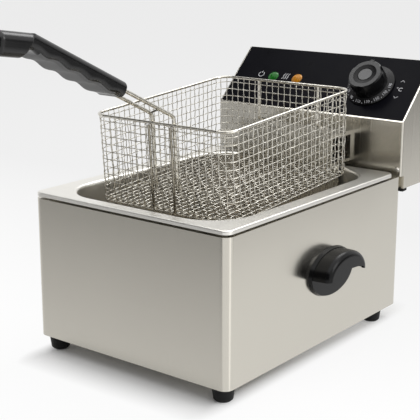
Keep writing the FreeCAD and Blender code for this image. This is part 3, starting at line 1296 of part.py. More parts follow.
def pieces():
    """Every piece of the fryer by name."""
    made = {
        "casing_wrap": casing_wrap(),
        "tank_rest": tank_rest(),
        "rear_panel": rear_panel(),
        "rear_panel_screws": rear_panel_screws(),
        "base_plate": base_plate(),
        "foot_screws": foot_screws(),
        "side_handle_left": side_handle(-1),
        "side_handle_right": side_handle(1),
        "handle_screws": handle_screws(),
        "oil_tank": oil_tank(),
        "head_case": head_case(),
        "head_apron": head_apron(),
        "head_back_cover": head_back_cover(),
        "back_cover_screws": back_cover_screws(),
        "head_front_screws": head_front_screws(),
        "head_bumper_left": head_bumper(-1),
        "head_bumper_right": head_bumper(1),
        "control_panel": control_panel(),
        "lamp_green": lamp(LAMP_GREEN_X),
        "lamp_amber": lamp(LAMP_AMBER_X),
        "lamp_bodies": lamp_bodies(),
        "thermostat_body": thermostat_body(),
        "micro_switch": micro_switch(),
        "safety_cutout": safety_cutout(),
        "reset_button": reset_button(),
        "terminal_block": terminal_block(),
        "cord_grommet": cord_grommet(),
        "thermostat_knob": thermostat_knob(),
        "knob_cap": knob_cap(),
        "thermostat_shaft": thermostat_shaft(),
        "element_bracket": element_bracket(),
        "bracket_screws": bracket_screws(),
        "heating_element": heating_element(),
        "element_nuts": element_nuts(),
        "element_braces": element_braces(),
        "thermostat_bulb": sensing_bulb(-1),
        "cutout_bulb": sensing_bulb(1),
        "basket_rim": basket_rim(),
        "basket_front_net": basket_front_net(),
        "basket_rear_net": basket_rear_net(),
        "basket_left_net": basket_side_net(-1),
        "basket_right_net": basket_side_net(1),
        "basket_floor_net": basket_floor_net(),
        "basket_corner_nets": basket_corner_nets(),
        "basket_hook": basket_hook(),
        "front_stays": front_stays(),
        "handle_rods": handle_rods(),
        "handle_bridge": handle_bridge(),
        "handle_grip": handle_grip(),
        "grip_insert": grip_insert(),
    }
    for name, centre in foot_centres().items():
        made["foot_" + name] = foot(centre)
    return made


def main():
    """Build every piece, centre the whole over the origin and write one file for each."""
    os.makedirs("parts", exist_ok=True)
    made = pieces()
    spans = [shape.optimalBoundingBox(False, False) for shape in made.values()]
    middle = (min(span.YMin for span in spans) + max(span.YMax for span in spans)) / 2
    for name, shape in made.items():
        placed = shape.copy()
        placed.translate(Vec(0, -middle, 0))
        placed.exportStep("parts/" + name + ".step")
    print("moved along Y by", round(-middle, 4))


main()
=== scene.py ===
"""Countertop deep fryer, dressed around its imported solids.

Brushed-steel casing and control head, satin tank, woven wire basket, moulded grips, printed panel and dial.
Everything is in metres, in the frame of the solids: +X right, +Y to the rear, +Z up, floor at zero.
"""

import logging
import math
from dataclasses import dataclass
from enum import Enum
from typing import Callable, Protocol, Sequence

import bmesh
import bpy
from mathutils import Matrix, Vector


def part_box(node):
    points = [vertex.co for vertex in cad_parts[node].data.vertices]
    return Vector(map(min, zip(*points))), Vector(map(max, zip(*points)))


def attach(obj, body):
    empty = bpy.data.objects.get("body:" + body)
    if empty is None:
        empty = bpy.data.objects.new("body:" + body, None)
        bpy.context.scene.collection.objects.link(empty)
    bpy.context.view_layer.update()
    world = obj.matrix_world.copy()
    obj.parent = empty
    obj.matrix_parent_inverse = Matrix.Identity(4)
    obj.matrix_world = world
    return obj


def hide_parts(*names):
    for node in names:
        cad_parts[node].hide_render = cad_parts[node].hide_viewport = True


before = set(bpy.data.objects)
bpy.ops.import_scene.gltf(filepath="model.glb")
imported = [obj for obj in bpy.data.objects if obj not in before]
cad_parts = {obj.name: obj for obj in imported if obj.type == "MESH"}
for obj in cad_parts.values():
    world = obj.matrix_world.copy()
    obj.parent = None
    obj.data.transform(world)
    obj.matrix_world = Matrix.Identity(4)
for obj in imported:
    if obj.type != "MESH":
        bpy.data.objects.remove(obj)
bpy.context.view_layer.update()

LOG = logging.getLogger("fryer")
Colour = tuple[float, float, float]
Point = tuple[float, float, float]
Span = tuple[float, float]

MM = 0.001
# The casing's middle lies this far behind the origin, in millimetres.
SHIFT_Y = 54.7017
CASING_TOP = 178.0
WHITE: Colour = (1.0, 1.0, 1.0)
BLACK: Colour = (0.0, 0.0, 0.0)
# Upright share of a tube's direction from which its section starts along X.
STEEP = 0.8
# Font size for a capital of height 1, and chords in each of its curves.
LETTER_SIZE = 1.4
LETTER_STEPS = 3
# Corners nearer than this, in metres, are one.
SAME_POINT = 0.000002


def at(x: float, y: float, z: float) -> Vector:
    """Point in metres from millimetres measured round the casing's middle.

    Args:
        x: distance to the right.
        y: distance to the rear.
        z: height above the floor.

    Returns:
        The point in the frame of the solids.
    """
    return Vector((x, y + SHIFT_Y, z)) * MM


def srgb(red: int, green: int, blue: int) -> Colour:
    """Scene-linear colour from display values.

    Args:
        red: 0 to 255.
        green: 0 to 255.
        blue: 0 to 255.

    Returns:
        The colour.
    """
    def linear(value: int) -> float:
        """Linear share of one display value."""
        share = value / 255
        return share / 12.92 if share <= 0.04045 else ((share + 0.055) / 1.055) ** 2.4

    return linear(red), linear(green), linear(blue)


def shade(colour: Colour, factor: float) -> Colour:
    """A colour made lighter or darker."""
    return tuple(min(1.0, part * factor) for part in colour)


class Grain(Enum):
    """Direction in which a sheet was brushed, as features per metre along X, Y and Z."""

    UPRIGHT = (900.0, 900.0, 9.0)
    NONE = (30.0, 30.0, 30.0)


class Shader:
    """A node material under construction, with one principled surface."""

    NOISE_MIDDLE: Span = (0.3, 0.7)

    def __init__(self, name: str) -> None:
        """Start an empty material.

        Args:
            name: the material's name.
        """
        self.material = bpy.data.materials.new(name)
        self.material.use_nodes = True
        self.tree = self.material.node_tree
        self.surface = self.tree.nodes["Principled BSDF"]

    def node(self, kind: str, **settings: object) -> bpy.types.Node:
        """Add a node.

        Args:
            kind: the node's type.
            settings: attributes to set on it.

        Returns:
            The new node.
        """
        made = self.tree.nodes.new(kind)
        for key, value in settings.items():
            setattr(made, key, value)
        return made

    def link(self, source: bpy.types.NodeSocket, target: bpy.types.NodeSocket) -> None:
        """Join two sockets."""
        self.tree.links.new(source, target)

    def set(self, **values: float | Colour) -> None:
        """Set plain values on the surface.

        Args:
            values: a number or a colour for each socket, named with underscores for spaces.
        """
        for key, value in values.items():
            socket = self.surface.inputs[key.replace("_", " ")]
            socket.default_value = (*value, 1.0) if isinstance(value, tuple) else value

    def feed(self, **sources: bpy.types.NodeSocket) -> None:
        """Link sockets to the surface's own, named with underscores for spaces."""
        for key, source in sources.items():
            self.link(source, self.surface.inputs[key.replace("_", " ")])

    def combine(self, operation: str, *terms: bpy.types.NodeSocket | float) -> bpy.types.NodeSocket:
        """Work out a value from others.

        Args:
            operation: what is done with them.
            terms: sockets or plain numbers.

        Returns:
            The value socket.
        """
        made = self.node("ShaderNodeMath", operation=operation)
        for target, term in zip(made.inputs, terms):
            if isinstance(term, bpy.types.NodeSocket):
                self.link(term, target)
            else:
                target.default_value = term
        return made.outputs["Value"]

    def coords(self, scale: Sequence[float] = (1.0, 1.0, 1.0)) -> bpy.types.NodeSocket:
        """Object coordinates, stretched.

        Args:
            scale: factors along X, Y and Z.

        Returns:
            The vector socket.
        """
        source = self.node("ShaderNodeTexCoord")
        mapping = self.node("ShaderNodeMapping")
        mapping.inputs["Scale"].default_value = tuple(scale)
        self.link(source.outputs["Object"], mapping.inputs["Vector"])
        return mapping.outputs["Vector"]

    def split(self) -> bpy.types.Node:
        """Object coordinates taken apart.

        Returns:
            The node with outputs X, Y and Z.
        """
        made = self.node("ShaderNodeSeparateXYZ")
        self.link(self.coords(), made.inputs["Vector"])
        return made

    def noise(self, vector: bpy.types.NodeSocket, scale: float, detail: float) -> bpy.types.NodeSocket:
        """Noise from 0 to 1.

        Args:
            vector: coordinates.
            scale: features per unit.
            detail: octaves.

        Returns:
            The factor socket.
        """
        made = self.node("ShaderNodeTexNoise")
        made.inputs["Scale"].default_value = scale
        made.inputs["Detail"].default_value = detail
        self.link(vector, made.inputs["Vector"])
        return made.outputs["Fac"]

    def ramp(self, source: bpy.types.NodeSocket, span: Span, values: Span) -> bpy.types.NodeSocket:
        """Value that goes evenly from one to another over a span.

        Args:
            source: what is measured.
            span: where it starts and ends.
            values: the values there.

        Returns:
            The value socket.
        """
        made = self.node("ShaderNodeMapRange")
        made.inputs["From Min"].default_value, made.inputs["From Max"].default_value = span
        made.inputs["To Min"].default_value, made.inputs["To Max"].default_value = values
        self.link(source, made.inputs["Value"])
        return made.outputs["Result"]

    def spread(self, factor: bpy.types.NodeSocket, low: float, high: float) -> bpy.types.NodeSocket:
        """Map the middle of a noise to values from low to high."""
        return self.ramp(factor, self.NOISE_MIDDLE, (low, high))

    def vary(self, factor: bpy.types.NodeSocket, middle: float, share: float) -> bpy.types.NodeSocket:
        """Map a noise to values a share below and above a middle."""
        return self.spread(factor, middle * (1 - share), middle * (1 + share))

    def tint(self, factor: bpy.types.NodeSocket, low: Colour, high: Colour) -> bpy.types.NodeSocket:
        """Colour between two, by a factor.

        Args:
            factor: 0 to 1.
            low: colour at 0.
            high: colour at 1.

        Returns:
            The colour socket.
        """
        made = self.node("ShaderNodeMix", data_type="RGBA")
        ends = {"A_Color": low, "B_Color": high}
        for socket in made.inputs:
            if socket.identifier in ends:
                socket.default_value = (*ends[socket.identifier], 1.0)
        self.link(factor, made.inputs["Factor"])
        return next(socket for socket in made.outputs if socket.identifier == "Result_Color")

    def mottle(self, factor: bpy.types.NodeSocket, colour: Colour, share: float) -> bpy.types.NodeSocket:
        """Colour that a noise makes a share darker and lighter."""
        return self.tint(self.spread(factor, 0.0, 1.0), shade(colour, 1 - share), shade(colour, 1 + share))

    def bump(self, height: bpy.types.NodeSocket, strength: float, distance: float) -> None:
        """Raise the surface by a height.

        Args:
            height: 0 to 1.
            strength: share of the effect.
            distance: metres for a height of 1.
        """
        made = self.node("ShaderNodeBump")
        made.inputs["Strength"].default_value = strength
        made.inputs["Distance"].default_value = distance
        self.link(height, made.inputs["Height"])
        self.feed(Normal=made.outputs["Normal"])

    def show_mix(self, share: bpy.types.NodeSocket, first: bpy.types.NodeSocket,
                 second: bpy.types.NodeSocket) -> None:
        """Show two shaders mixed, in place of the surface alone.

        Args:
            share: how much of the second shows.
            first: shader shown at 0.
            second: shader shown at 1.
        """
        mix = self.node("ShaderNodeMixShader")
        self.link(share, mix.inputs["Fac"])
        self.link(first, mix.inputs[1])
        self.link(second, mix.inputs[2])
        self.link(mix.outputs["Shader"], self.tree.nodes["Material Output"].inputs["Surface"])


@dataclass(frozen=True)
class BrushedSteel:
    """Stainless sheet with a fine directional grain."""

    name: str
    colour: Colour
    roughness: float
    grain: Grain
    streak: float
    depth: float = 0.00004
    vary: float = 0.12
    cloud: float = 0.025
    cloud_scale: float = 9.0
    relief: float = 0.35

    def make(self) -> bpy.types.Material:
        """Build the material.

        Returns:
            The finish.
        """
        shader = Shader(self.name)
        shader.set(Metallic=1.0)
        lines = shader.noise(shader.coords(self.grain.value), 1.0, detail=4.0)
        clouds = shader.noise(shader.coords(), self.cloud_scale, detail=2.0)
        rough = shader.combine("ADD", shader.vary(lines, self.roughness, self.vary),
                               shader.spread(clouds, -self.cloud, self.cloud))
        shader.feed(Base_Color=shader.mottle(lines, self.colour, self.streak), Roughness=rough)
        shader.bump(lines, self.relief, self.depth)
        return shader.material


@dataclass(frozen=True)
class DrawnSteel:
    """Satin drawn sheet, with painted shade that darkens it between two heights towards the bottom of the
    tank.
    """

    name: str
    colour: Colour
    painted_shade: Colour
    roughness: float
    # Heights in metres between which the painted shade comes in, towards the bottom.
    fade: Span
    stretch: float = 14.0
    scale: float = 2.0
    blotch: float = 0.06
    vary: float = 0.06
    relief: float = 0.3
    depth: float = 0.000002

    def make(self) -> bpy.types.Material:
        """Build the material.

        Returns:
            The finish.
        """
        shader = Shader(self.name)
        shader.set(Metallic=1.0)
        drawn = shader.noise(shader.coords((self.stretch,) * 3), self.scale, detail=3.0)
        # Painted shade: the colour darkens towards the bottom of the tank, under the basket.
        fall = shader.ramp(shader.split().outputs["Z"], self.fade, (0.0, 1.0))
        soft = shader.combine("ADD", shader.spread(drawn, -self.blotch, self.blotch), fall)
        shader.feed(Base_Color=shader.tint(soft, self.colour, self.painted_shade),
                    Roughness=shader.vary(drawn, self.roughness, self.vary))
        shader.bump(drawn, self.relief, self.depth)
        return shader.material


@dataclass(frozen=True)
class PlatedWire:
    """Bright plated wire with small dull spots."""

    name: str
    colour: Colour
    dull: Colour
    roughness: float
    spot_scale: float = 260.0
    dull_rough: float = 1.3
    bright_rough: float = 0.8
    relief: float = 0.2
    depth: float = 0.00003

    def make(self) -> bpy.types.Material:
        """Build the material.

        Returns:
            The finish.
        """
        shader = Shader(self.name)
        shader.set(Metallic=1.0)
        spots = shader.noise(shader.coords(), self.spot_scale, detail=2.0)
        tone = shader.tint(shader.spread(spots, 0.0, 1.0), self.dull, self.colour)
        rough = shader.spread(spots, self.roughness * self.dull_rough, self.roughness * self.bright_rough)
        shader.feed(Base_Color=tone, Roughness=rough)
        shader.bump(spots, self.relief, self.depth)
        return shader.material


@dataclass(frozen=True)
class Moulding:
    """Moulded plastic or rubber with a fine skin texture."""

    name: str
    colour: Colour
    roughness: float
    skin: float = 1400.0
    depth: float = 0.00002
    level: float = 0.5
    wear: float = 0.12
    wear_scale: float = 35.0
    vary: float = 0.1
    relief: float = 0.5

    def make(self) -> bpy.types.Material:
        """Build the material.

        Returns:
            The finish.
        """
        shader = Shader(self.name)
        shader.set(Specular_IOR_Level=self.level)
        skin = shader.noise(shader.coords(), self.skin, detail=2.0)
        wear = shader.noise(shader.coords(), self.wear_scale, detail=3.0)
        shader.feed(Base_Color=shader.mottle(wear, self.colour, self.wear),
                    Roughness=shader.vary(wear, self.roughness, self.vary))
        shader.bump(skin, self.relief, self.depth)
        return shader.material


@dataclass(frozen=True)
class LampLens:
    """Coloured clear plastic with a ribbed inside."""

    name: str
    colour: Colour
    glow: float = 0.04
    roughness: float = 0.25
    refraction: float = 1.49
    clear: float = 0.25
    level: float = 0.3
    rib_scale: float = 420.0
    lightest: float = 1.25
    darkest: float = 0.55
    relief: float = 0.25
    depth: float = 0.0004

    def make(self) -> bpy.types.Material:
        """Build the material.

        Returns:
            The finish.
        """
        shader = Shader(self.name)
        shader.set(Roughness=self.roughness, IOR=self.refraction, Transmission_Weight=self.clear,
                   Specular_IOR_Level=self.level, Emission_Color=self.colour, Emission_Strength=self.glow)
        ribs = shader.node("ShaderNodeTexVoronoi")
        ribs.inputs["Scale"].default_value = self.rib_scale
        shader.link(shader.coords(), ribs.inputs["Vector"])
        shader.feed(Base_Color=shader.tint(ribs.outputs["Distance"], shade(self.colour, self.lightest),
                                           shade(self.colour, self.darkest)))
        shader.bump(ribs.outputs["Distance"], self.relief, self.depth)
        return shader.material


class Finishes:
    """The materials of the fryer, made once."""

    def __init__(self) -> None:
        """Build every finish."""
        steel = srgb(206, 202, 192)
        self.casing = BrushedSteel("casing_steel", steel, 0.22, Grain.UPRIGHT, streak=0.012,
                                   depth=0.00001).make()
        self.head = BrushedSteel("head_steel", steel, 0.24, Grain.UPRIGHT, streak=0.07,
                                 depth=0.00003).make()
        # The tank's second colour is painted shade towards its bottom.
        self.tank = DrawnSteel("tank_steel", srgb(240, 238, 232), srgb(204, 198, 185), 0.36,
                               fade=(0.125, 0.075)).make()
        self.bracket = BrushedSteel("bracket_steel", srgb(208, 205, 197), 0.28, Grain.UPRIGHT,
                                    streak=0.04).make()
        self.screw = BrushedSteel("screw_steel", srgb(190, 188, 182), 0.25, Grain.NONE, streak=0.05).make()
        self.element = BrushedSteel("element_steel", srgb(84, 80, 75), 0.42, Grain.NONE, streak=0.12).make()
        self.wire = PlatedWire("wire_plating", srgb(240, 237, 228), srgb(178, 173, 162), 0.14).make()
        self.stay = PlatedWire("stay_wire", srgb(178, 172, 158), srgb(136, 131, 120), 0.22).make()
        self.bridge = PlatedWire("bridge_wire", srgb(122, 118, 108), srgb(84, 81, 74), 0.24).make()
        self.copper = PlatedWire("bulb_copper", srgb(190, 130, 96), srgb(150, 98, 70), 0.35).make()
        self.rubber = Moulding("black_rubber", srgb(18, 18, 18), 0.6, skin=700.0, depth=0.00004,
                               level=0.25).make()
        self.plastic = Moulding("black_plastic", srgb(8, 8, 9), 0.24, level=0.22).make()
        self.grip = Moulding("grip_plastic", srgb(9, 9, 10), 0.24).make()
        self.knob = Moulding("knob_plastic", srgb(14, 14, 15), 0.24, level=0.26).make()
        self.cap = Moulding("cap_plastic", srgb(22, 22, 25), 0.2, level=0.34).make()
        self.insert = Moulding("grey_insert", srgb(106, 106, 106), 0.6, skin=500.0, depth=0.00005,
                               level=0.25).make()
        self.panel = Moulding("panel_black", srgb(14, 14, 19), 0.3, skin=2200.0, depth=0.00001,
                              level=0.03).make()
        self.ink = Moulding("white_ink", srgb(215, 215, 218), 0.5, skin=900.0).make()
        self.dial_ink = Moulding("dial_ink", srgb(190, 190, 194), 0.5, skin=900.0).make()
        self.green = LampLens("lens_green", srgb(10, 118, 16)).make()
        self.amber = LampLens("lens_amber", srgb(214, 142, 18)).make()
        self.white = Moulding("white_plastic", srgb(228, 226, 220), 0.5).make()
        self.control = Moulding("control_plastic", srgb(70, 66, 62), 0.5).make()
        self.red = Moulding("reset_red", srgb(190, 30, 28), 0.3).make()


def dress(material: bpy.types.Material, *nodes: str) -> None:
    """Give solids a finish.

    Args:
        material: the finish.
        nodes: names of the solids.
    """
    for name in nodes:
        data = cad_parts[name].data
        data.materials.clear()
        data.materials.append(material)
        LOG.info("dressed %s with %s", name, material.name)


def new_piece(name: str, mesh: bmesh.types.BMesh, material: bpy.types.Material, body: str,
              smooth: bool = True) -> bpy.types.Object:
    """Turn a mesh into a piece that rides on a body.

    Args:
        name: the piece's name.
        mesh: its geometry, freed here.
        material: its finish.
        body: the body that carries it.
        smooth: whether its faces are shaded smooth.

    Returns:
        The new object.
    """
    bmesh.ops.recalc_face_normals(mesh, faces=mesh.faces)
    data = bpy.data.meshes.new(name)
    mesh.to_mesh(data)
    mesh.free()
    data.materials.append(material)
    data.polygons.foreach_set("use_smooth", [smooth] * len(data.polygons))
    piece = bpy.data.objects.new(name, data)
    bpy.context.scene.collection.objects.link(piece)
    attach(piece, body)
    LOG.info("made %s with %d faces", name, len(data.polygons))
    return piece


def skin(mesh: bmesh.types.BMesh, rings: Sequence[Sequence[bmesh.types.BMVert]],
         closed: bool = False) -> None:
    """Join rings of corners by faces.

    Args:
        mesh: where the faces are added.
        rings: corners of each section, in order.
        closed: whether the last ring joins the first, else both ends get a cap.
    """
    sides = len(rings[0])
    spans = list(zip(rings, rings[1:]))
    if closed:
        spans.append((rings[-1], rings[0]))
    for first, second in spans:
        for k in range(sides):
            mesh.faces.new((first[k], first[(k + 1) % sides], second[(k + 1) % sides], second[k]))
    if not closed:
        mesh.faces.new(list(reversed(rings[0])))
        mesh.faces.new(rings[-1])


def tube(mesh: bmesh.types.BMesh, points: Sequence[Vector], radius: float, sides: int,
         closed: bool = False) -> None:
    """Add a round tube along points.

    Args:
        mesh: where it is added.
        points: its centre line.
        radius: its radius.
        sides: corners of its section.
        closed: whether its end joins its start.
    """
    count = len(points)
    rings = []
    normal = None
    for i, point in enumerate(points):
        before = points[(i - 1) % count] if closed or i > 0 else point
        after = points[(i + 1) % count] if closed or i < count - 1 else point
        tangent = (after - before).normalized()
        if normal is None:
            guess = Vector((0, 0, 1)) if abs(tangent.z) < STEEP else Vector((1, 0, 0))
            normal = tangent.cross(guess).normalized()
        normal = (normal - tangent * normal.dot(tangent)).normalized()
        other = tangent.cross(normal)
        turns = [2 * math.pi * k / sides for k in range(sides)]
        rings.append([mesh.verts.new(point + (normal * math.cos(turn) + other * math.sin(turn)) * radius)
                      for turn in turns])
    skin(mesh, rings, closed)


@dataclass
class Casing:
    """Steel casing with its feet, side handles and rear panel."""

    finishes: Finishes

    def build(self) -> None:
        """Dress the casing's solids."""
        dress(self.finishes.casing, "casing_wrap", "tank_rest", "rear_panel", "base_plate")
        dress(self.finishes.screw, "rear_panel_screws", "foot_screws", "handle_screws")
        dress(self.finishes.rubber, "foot_front_left", "foot_front_right", "foot_rear_left", "foot_rear_right")
        dress(self.finishes.plastic, "side_handle_left", "side_handle_right")


@dataclass
class Tank:
    """Lift-out oil tank."""

    finishes: Finishes

    def build(self) -> None:
        """Dress the tank."""
        dress(self.finishes.tank, "oil_tank")


@dataclass
class PanelPlane:
    """The sloped face of the control head, for placing prints on it. Millimetres."""

    slope: float = 43.8
    foot_y: float = 168.0
    foot_z: float = CASING_TOP + 66.0

    def point(self, x: float, up: float, lift: float) -> Vector:
        """Point on the slope.

        Args:
            x: sideways from the middle.
            up: distance up the slope.
            lift: distance out of the slope.

        Returns:
            The point in metres.
        """
        angle = math.radians(self.slope)
        y = self.foot_y + up * math.cos(angle) - lift * math.sin(angle)
        z = self.foot_z + up * math.sin(angle) + lift * math.cos(angle)
        return at(x, y, z)

    def frame_at(self, x: float, up: float, lift: float) -> Matrix:
        """Placement whose X is sideways, Y up the slope and Z out of it."""
        angle = math.radians(self.slope)
        return Matrix.Translation(self.point(x, up, lift)) @ Matrix.Rotation(angle, 4, "X")


def ribbon(mesh: bmesh.types.BMesh, line: Sequence[Span], width: float, place: Matrix,
           thick: float = 0.12) -> None:
    """Add a flat printed stroke with a little thickness.

    Args:
        mesh: where it is added.
        line: points in millimetres in the plane of the print.
        width: the stroke's width in millimetres.
        place: placement of that plane.
        thick: thickness in millimetres.
    """
    points = [Vector((x, y, 0)) for x, y in line]
    rings = []
    for i, point in enumerate(points):
        before, after = points[max(i - 1, 0)], points[min(i + 1, len(points) - 1)]
        along = (after - before).normalized()
        across = Vector((-along.y, along.x, 0)) * (width / 2)
        corners = ((across, 0), (-across, 0), (-across, thick), (across, thick))
        rings.append([mesh.verts.new(place @ ((point + offset + Vector((0, 0, z))) * MM))
                      for offset, z in corners])
    skin(mesh, rings)


def arc(radius: float, start: float, end: float, steps: int = 20, middle: Span = (0.0, 0.0)) -> list[Span]:
    """Points on an arc, by degrees.

    Args:
        radius: in millimetres.
        start: first angle.
        end: last angle.
        steps: number of chords.
        middle: centre.

    Returns:
        The points.
    """
    turns = [math.radians(start + (end - start) * i / steps) for i in range(steps + 1)]
    return [(middle[0] + radius * math.cos(t), middle[1] + radius * math.sin(t)) for t in turns]


def lettering(text: str, height: float, place: Matrix, thick: float = 0.0001) -> bmesh.types.BMesh:
    """Mesh of a short printed text, centred on its placement.

    Args:
        text: the characters.
        height: their height in metres.
        place: placement of the print's plane.
        thick: thickness in metres.

    Returns:
        The mesh.
    """
    curve = bpy.data.curves.new("print", "FONT")
    curve.body = text
    curve.size = height * LETTER_SIZE
    curve.extrude = thick / 2
    curve.align_x = "CENTER"
    curve.align_y = "CENTER"
    curve.resolution_u = LETTER_STEPS
    holder = bpy.data.objects.new("print", curve)
    bpy.context.scene.collection.objects.link(holder)
    bpy.context.view_layer.update()
    data = bpy.data.meshes.new_from_object(holder.evaluated_get(bpy.context.evaluated_depsgraph_get()))
    mesh = bmesh.new()
    mesh.from_mesh(data)
    bmesh.ops.remove_doubles(mesh, verts=mesh.verts, dist=SAME_POINT)
    bmesh.ops.transform(mesh, matrix=place, verts=mesh.verts)
    bpy.data.objects.remove(holder)
    bpy.data.curves.remove(curve)
    bpy.data.meshes.remove(data)
    return mesh


def merge(target: bmesh.types.BMesh, source: bmesh.types.BMesh) -> None:
    """Add one mesh to another.

    Args:
        target: the mesh that grows.
        source: the mesh that is added, freed here.
    """
    data = bpy.data.meshes.new("part")
    source.to_mesh(data)
    source.free()
    target.from_mesh(data)
    bpy.data.meshes.remove(data)


@dataclass
class Head:
    """Control head with its panel, lamps, element and bracket. Millimetres, along and out of the slope."""

    finishes: Finishes
    plane: PanelPlane
    print_lift: float = 1.03
    stroke: float = 0.75
    thin_stroke: float = 0.45
    lamp_row: float = 50.0
    power_x: float = -95.0
    power_radius: float = 4.0
    power_turn: Span = (125.0, 415.0)
    power_bar: Span = (2.2, 5.2)
    heat_x: float = -56.0
    wave_gap: float = 3.4
    wave_lean: float = 0.3
    wave_swing: float = 0.9
    wave_rise: float = 0.9
    wave_half: int = 5
    scale_x: float = 111.6
    upper_row: float = 60.0
    lower_row: float = 35.0
    arrow_half: float = 2.8
    arrow_rise: float = 1.4
    unit_row: float = 47.0
    unit_height: float = 5.6
    edge_half: float = 134.6
    edge_low: float = 92.62
    edge_high: float = 95.0
    edge_lift: float = 0.02
    edge_thick: float = 1.0
    edge_round: float = 0.5
    edge_steps: int = 4

    def build(self) -> None:
        """Dress the head's solids and print its panel."""
        wear = self.finishes
        dress(wear.head, "head_case", "head_apron", "head_back_cover")
        dress(wear.bracket, "element_bracket", "element_braces")
        dress(wear.screw, "back_cover_screws", "head_front_screws", "bracket_screws", "element_nuts")
        dress(wear.element, "heating_element")
        dress(wear.copper, "thermostat_bulb", "cutout_bulb")
        dress(wear.panel, "control_panel")
        dress(wear.green, "lamp_green")
        dress(wear.amber, "lamp_amber")
        dress(wear.white, "lamp_bodies", "terminal_block")
        dress(wear.control, "thermostat_body", "micro_switch", "safety_cutout")
        dress(wear.rubber, "head_bumper_left", "head_bumper_right", "cord_grommet")
        dress(wear.red, "reset_button")
        self.edge_panel()
        self.print_panel()

    def edge_panel(self) -> None:
        """Black edge that carries the panel on to the top of the slope."""
        mesh = bmesh.new()
        hub = (self.edge_high - self.edge_round, self.edge_thick - self.edge_round)
        outline = [(self.edge_low, self.edge_lift), (self.edge_high, self.edge_lift),
                   *arc(self.edge_round, 0, 90, self.edge_steps, hub), (self.edge_low, self.edge_thick)]
        skin(mesh, [[mesh.verts.new(self.plane.point(x, up, lift)) for up, lift in outline]
                    for x in (-self.edge_half, self.edge_half)])
        new_piece("panel_edge", mesh, self.finishes.panel, "head", smooth=False)

    def sign_place(self, x: float, row: float) -> Matrix:
        """Placement of a sign on the panel."""
        return self.plane.frame_at(x, row, self.print_lift)

    def wave(self, offset: float) -> list[Span]:
        """One wave of the heat sign.

        Args:
            offset: its place across the sign.

        Returns:
            Its points.
        """
        half = self.wave_half
        return [(offset + self.wave_lean * (i - half) + self.wave_swing * math.sin(i * math.pi / half),
                 self.wave_rise * (i - half)) for i in range(2 * half + 1)]

    def print_panel(self) -> None:
        """White signs beside the lamps and the dial."""
        mesh = bmesh.new()
        power = self.sign_place(self.power_x, self.lamp_row)
        ribbon(mesh, arc(self.power_radius, *self.power_turn), self.stroke, power)
        ribbon(mesh, [(0, end) for end in self.power_bar], self.stroke, power)
        for offset in (-self.wave_gap, 0.0, self.wave_gap):
            ribbon(mesh, self.wave(offset), self.stroke, self.sign_place(self.heat_x, self.lamp_row))
        for row, rise in ((self.upper_row, self.arrow_rise), (self.lower_row, -self.arrow_rise)):
            arrow = self.sign_place(self.scale_x, row)
            ribbon(mesh, [(-self.arrow_half, -rise), (0, rise)], self.thin_stroke, arrow)
            ribbon(mesh, [(0, rise), (self.arrow_half, -rise)], self.thin_stroke, arrow)
        merge(mesh, lettering("°C", self.unit_height * MM, self.sign_place(self.scale_x, self.unit_row)))
        new_piece("panel_signs", mesh, self.finishes.ink, "head", smooth=False)


@dataclass
class Knob:
    """Thermostat knob with the scale on its skirt. Millimetres and degrees."""

    finishes: Finishes
    plane: PanelPlane
    x: float = 72.0
    up: float = 48.0
    skirt_lift: float = 1.5
    skirt_edge: float = 1.6
    skirt_centre: float = 4.5
    skirt_radius: float = 31.0
    grip_radius: float = 23.2
    print_lift: float = 0.05
    scale_radius: float = 27.6
    number_height: float = 3.7
    dot_size: float = 1.0
    dot_out: float = 1.6
    first_turn: float = 182.0
    last_turn: float = 362.0
    lowest: int = 50
    step: int = 20
    marks: int = 8

    def build(self) -> None:
        """Dress the knob and print its scale."""
        dress(self.finishes.knob, "thermostat_knob")
        dress(self.finishes.cap, "knob_cap")
        dress(self.finishes.screw, "thermostat_shaft")
        self.print_scale()

    def skirt_place(self, turn: float, radius: float) -> Matrix:
        """Placement on the sloping skirt, its Y towards the knob's middle.

        Args:
            turn: angle in degrees from the right-hand side.
            radius: distance from the axis in millimetres.

        Returns:
            The placement.
        """
        fall = (self.skirt_centre - self.skirt_edge) / (self.skirt_radius - self.grip_radius)
        lift = self.skirt_lift + self.skirt_edge + (self.skirt_radius - radius) * fall + self.print_lift
        base = self.plane.frame_at(self.x, self.up, lift)
        spin = Matrix.Rotation(math.radians(turn + 90), 4, "Z")
        out = Matrix.Translation(Vector((0, -radius * MM, 0)))
        return base @ spin @ out @ Matrix.Rotation(math.atan(fall), 4, "X")

    def print_scale(self) -> None:
        """Numbers and dots round the lower part of the skirt."""
        mesh = bmesh.new()
        pitch = (self.last_turn - self.first_turn) / (self.marks - 1)
        half = self.dot_size / 2
        for i in range(self.marks):
            turn = self.first_turn + i * pitch
            number = str(self.lowest + self.step * i)
            merge(mesh, lettering(number, self.number_height * MM, self.skirt_place(turn, self.scale_radius)))
            if i < self.marks - 1:
                dot = self.skirt_place(turn + pitch / 2, self.scale_radius + self.dot_out)
                ribbon(mesh, [(-half, 0), (half, 0)], self.dot_size, dot)
        new_piece("dial_numbers", mesh, self.finishes.dial_ink, "knob", smooth=False)


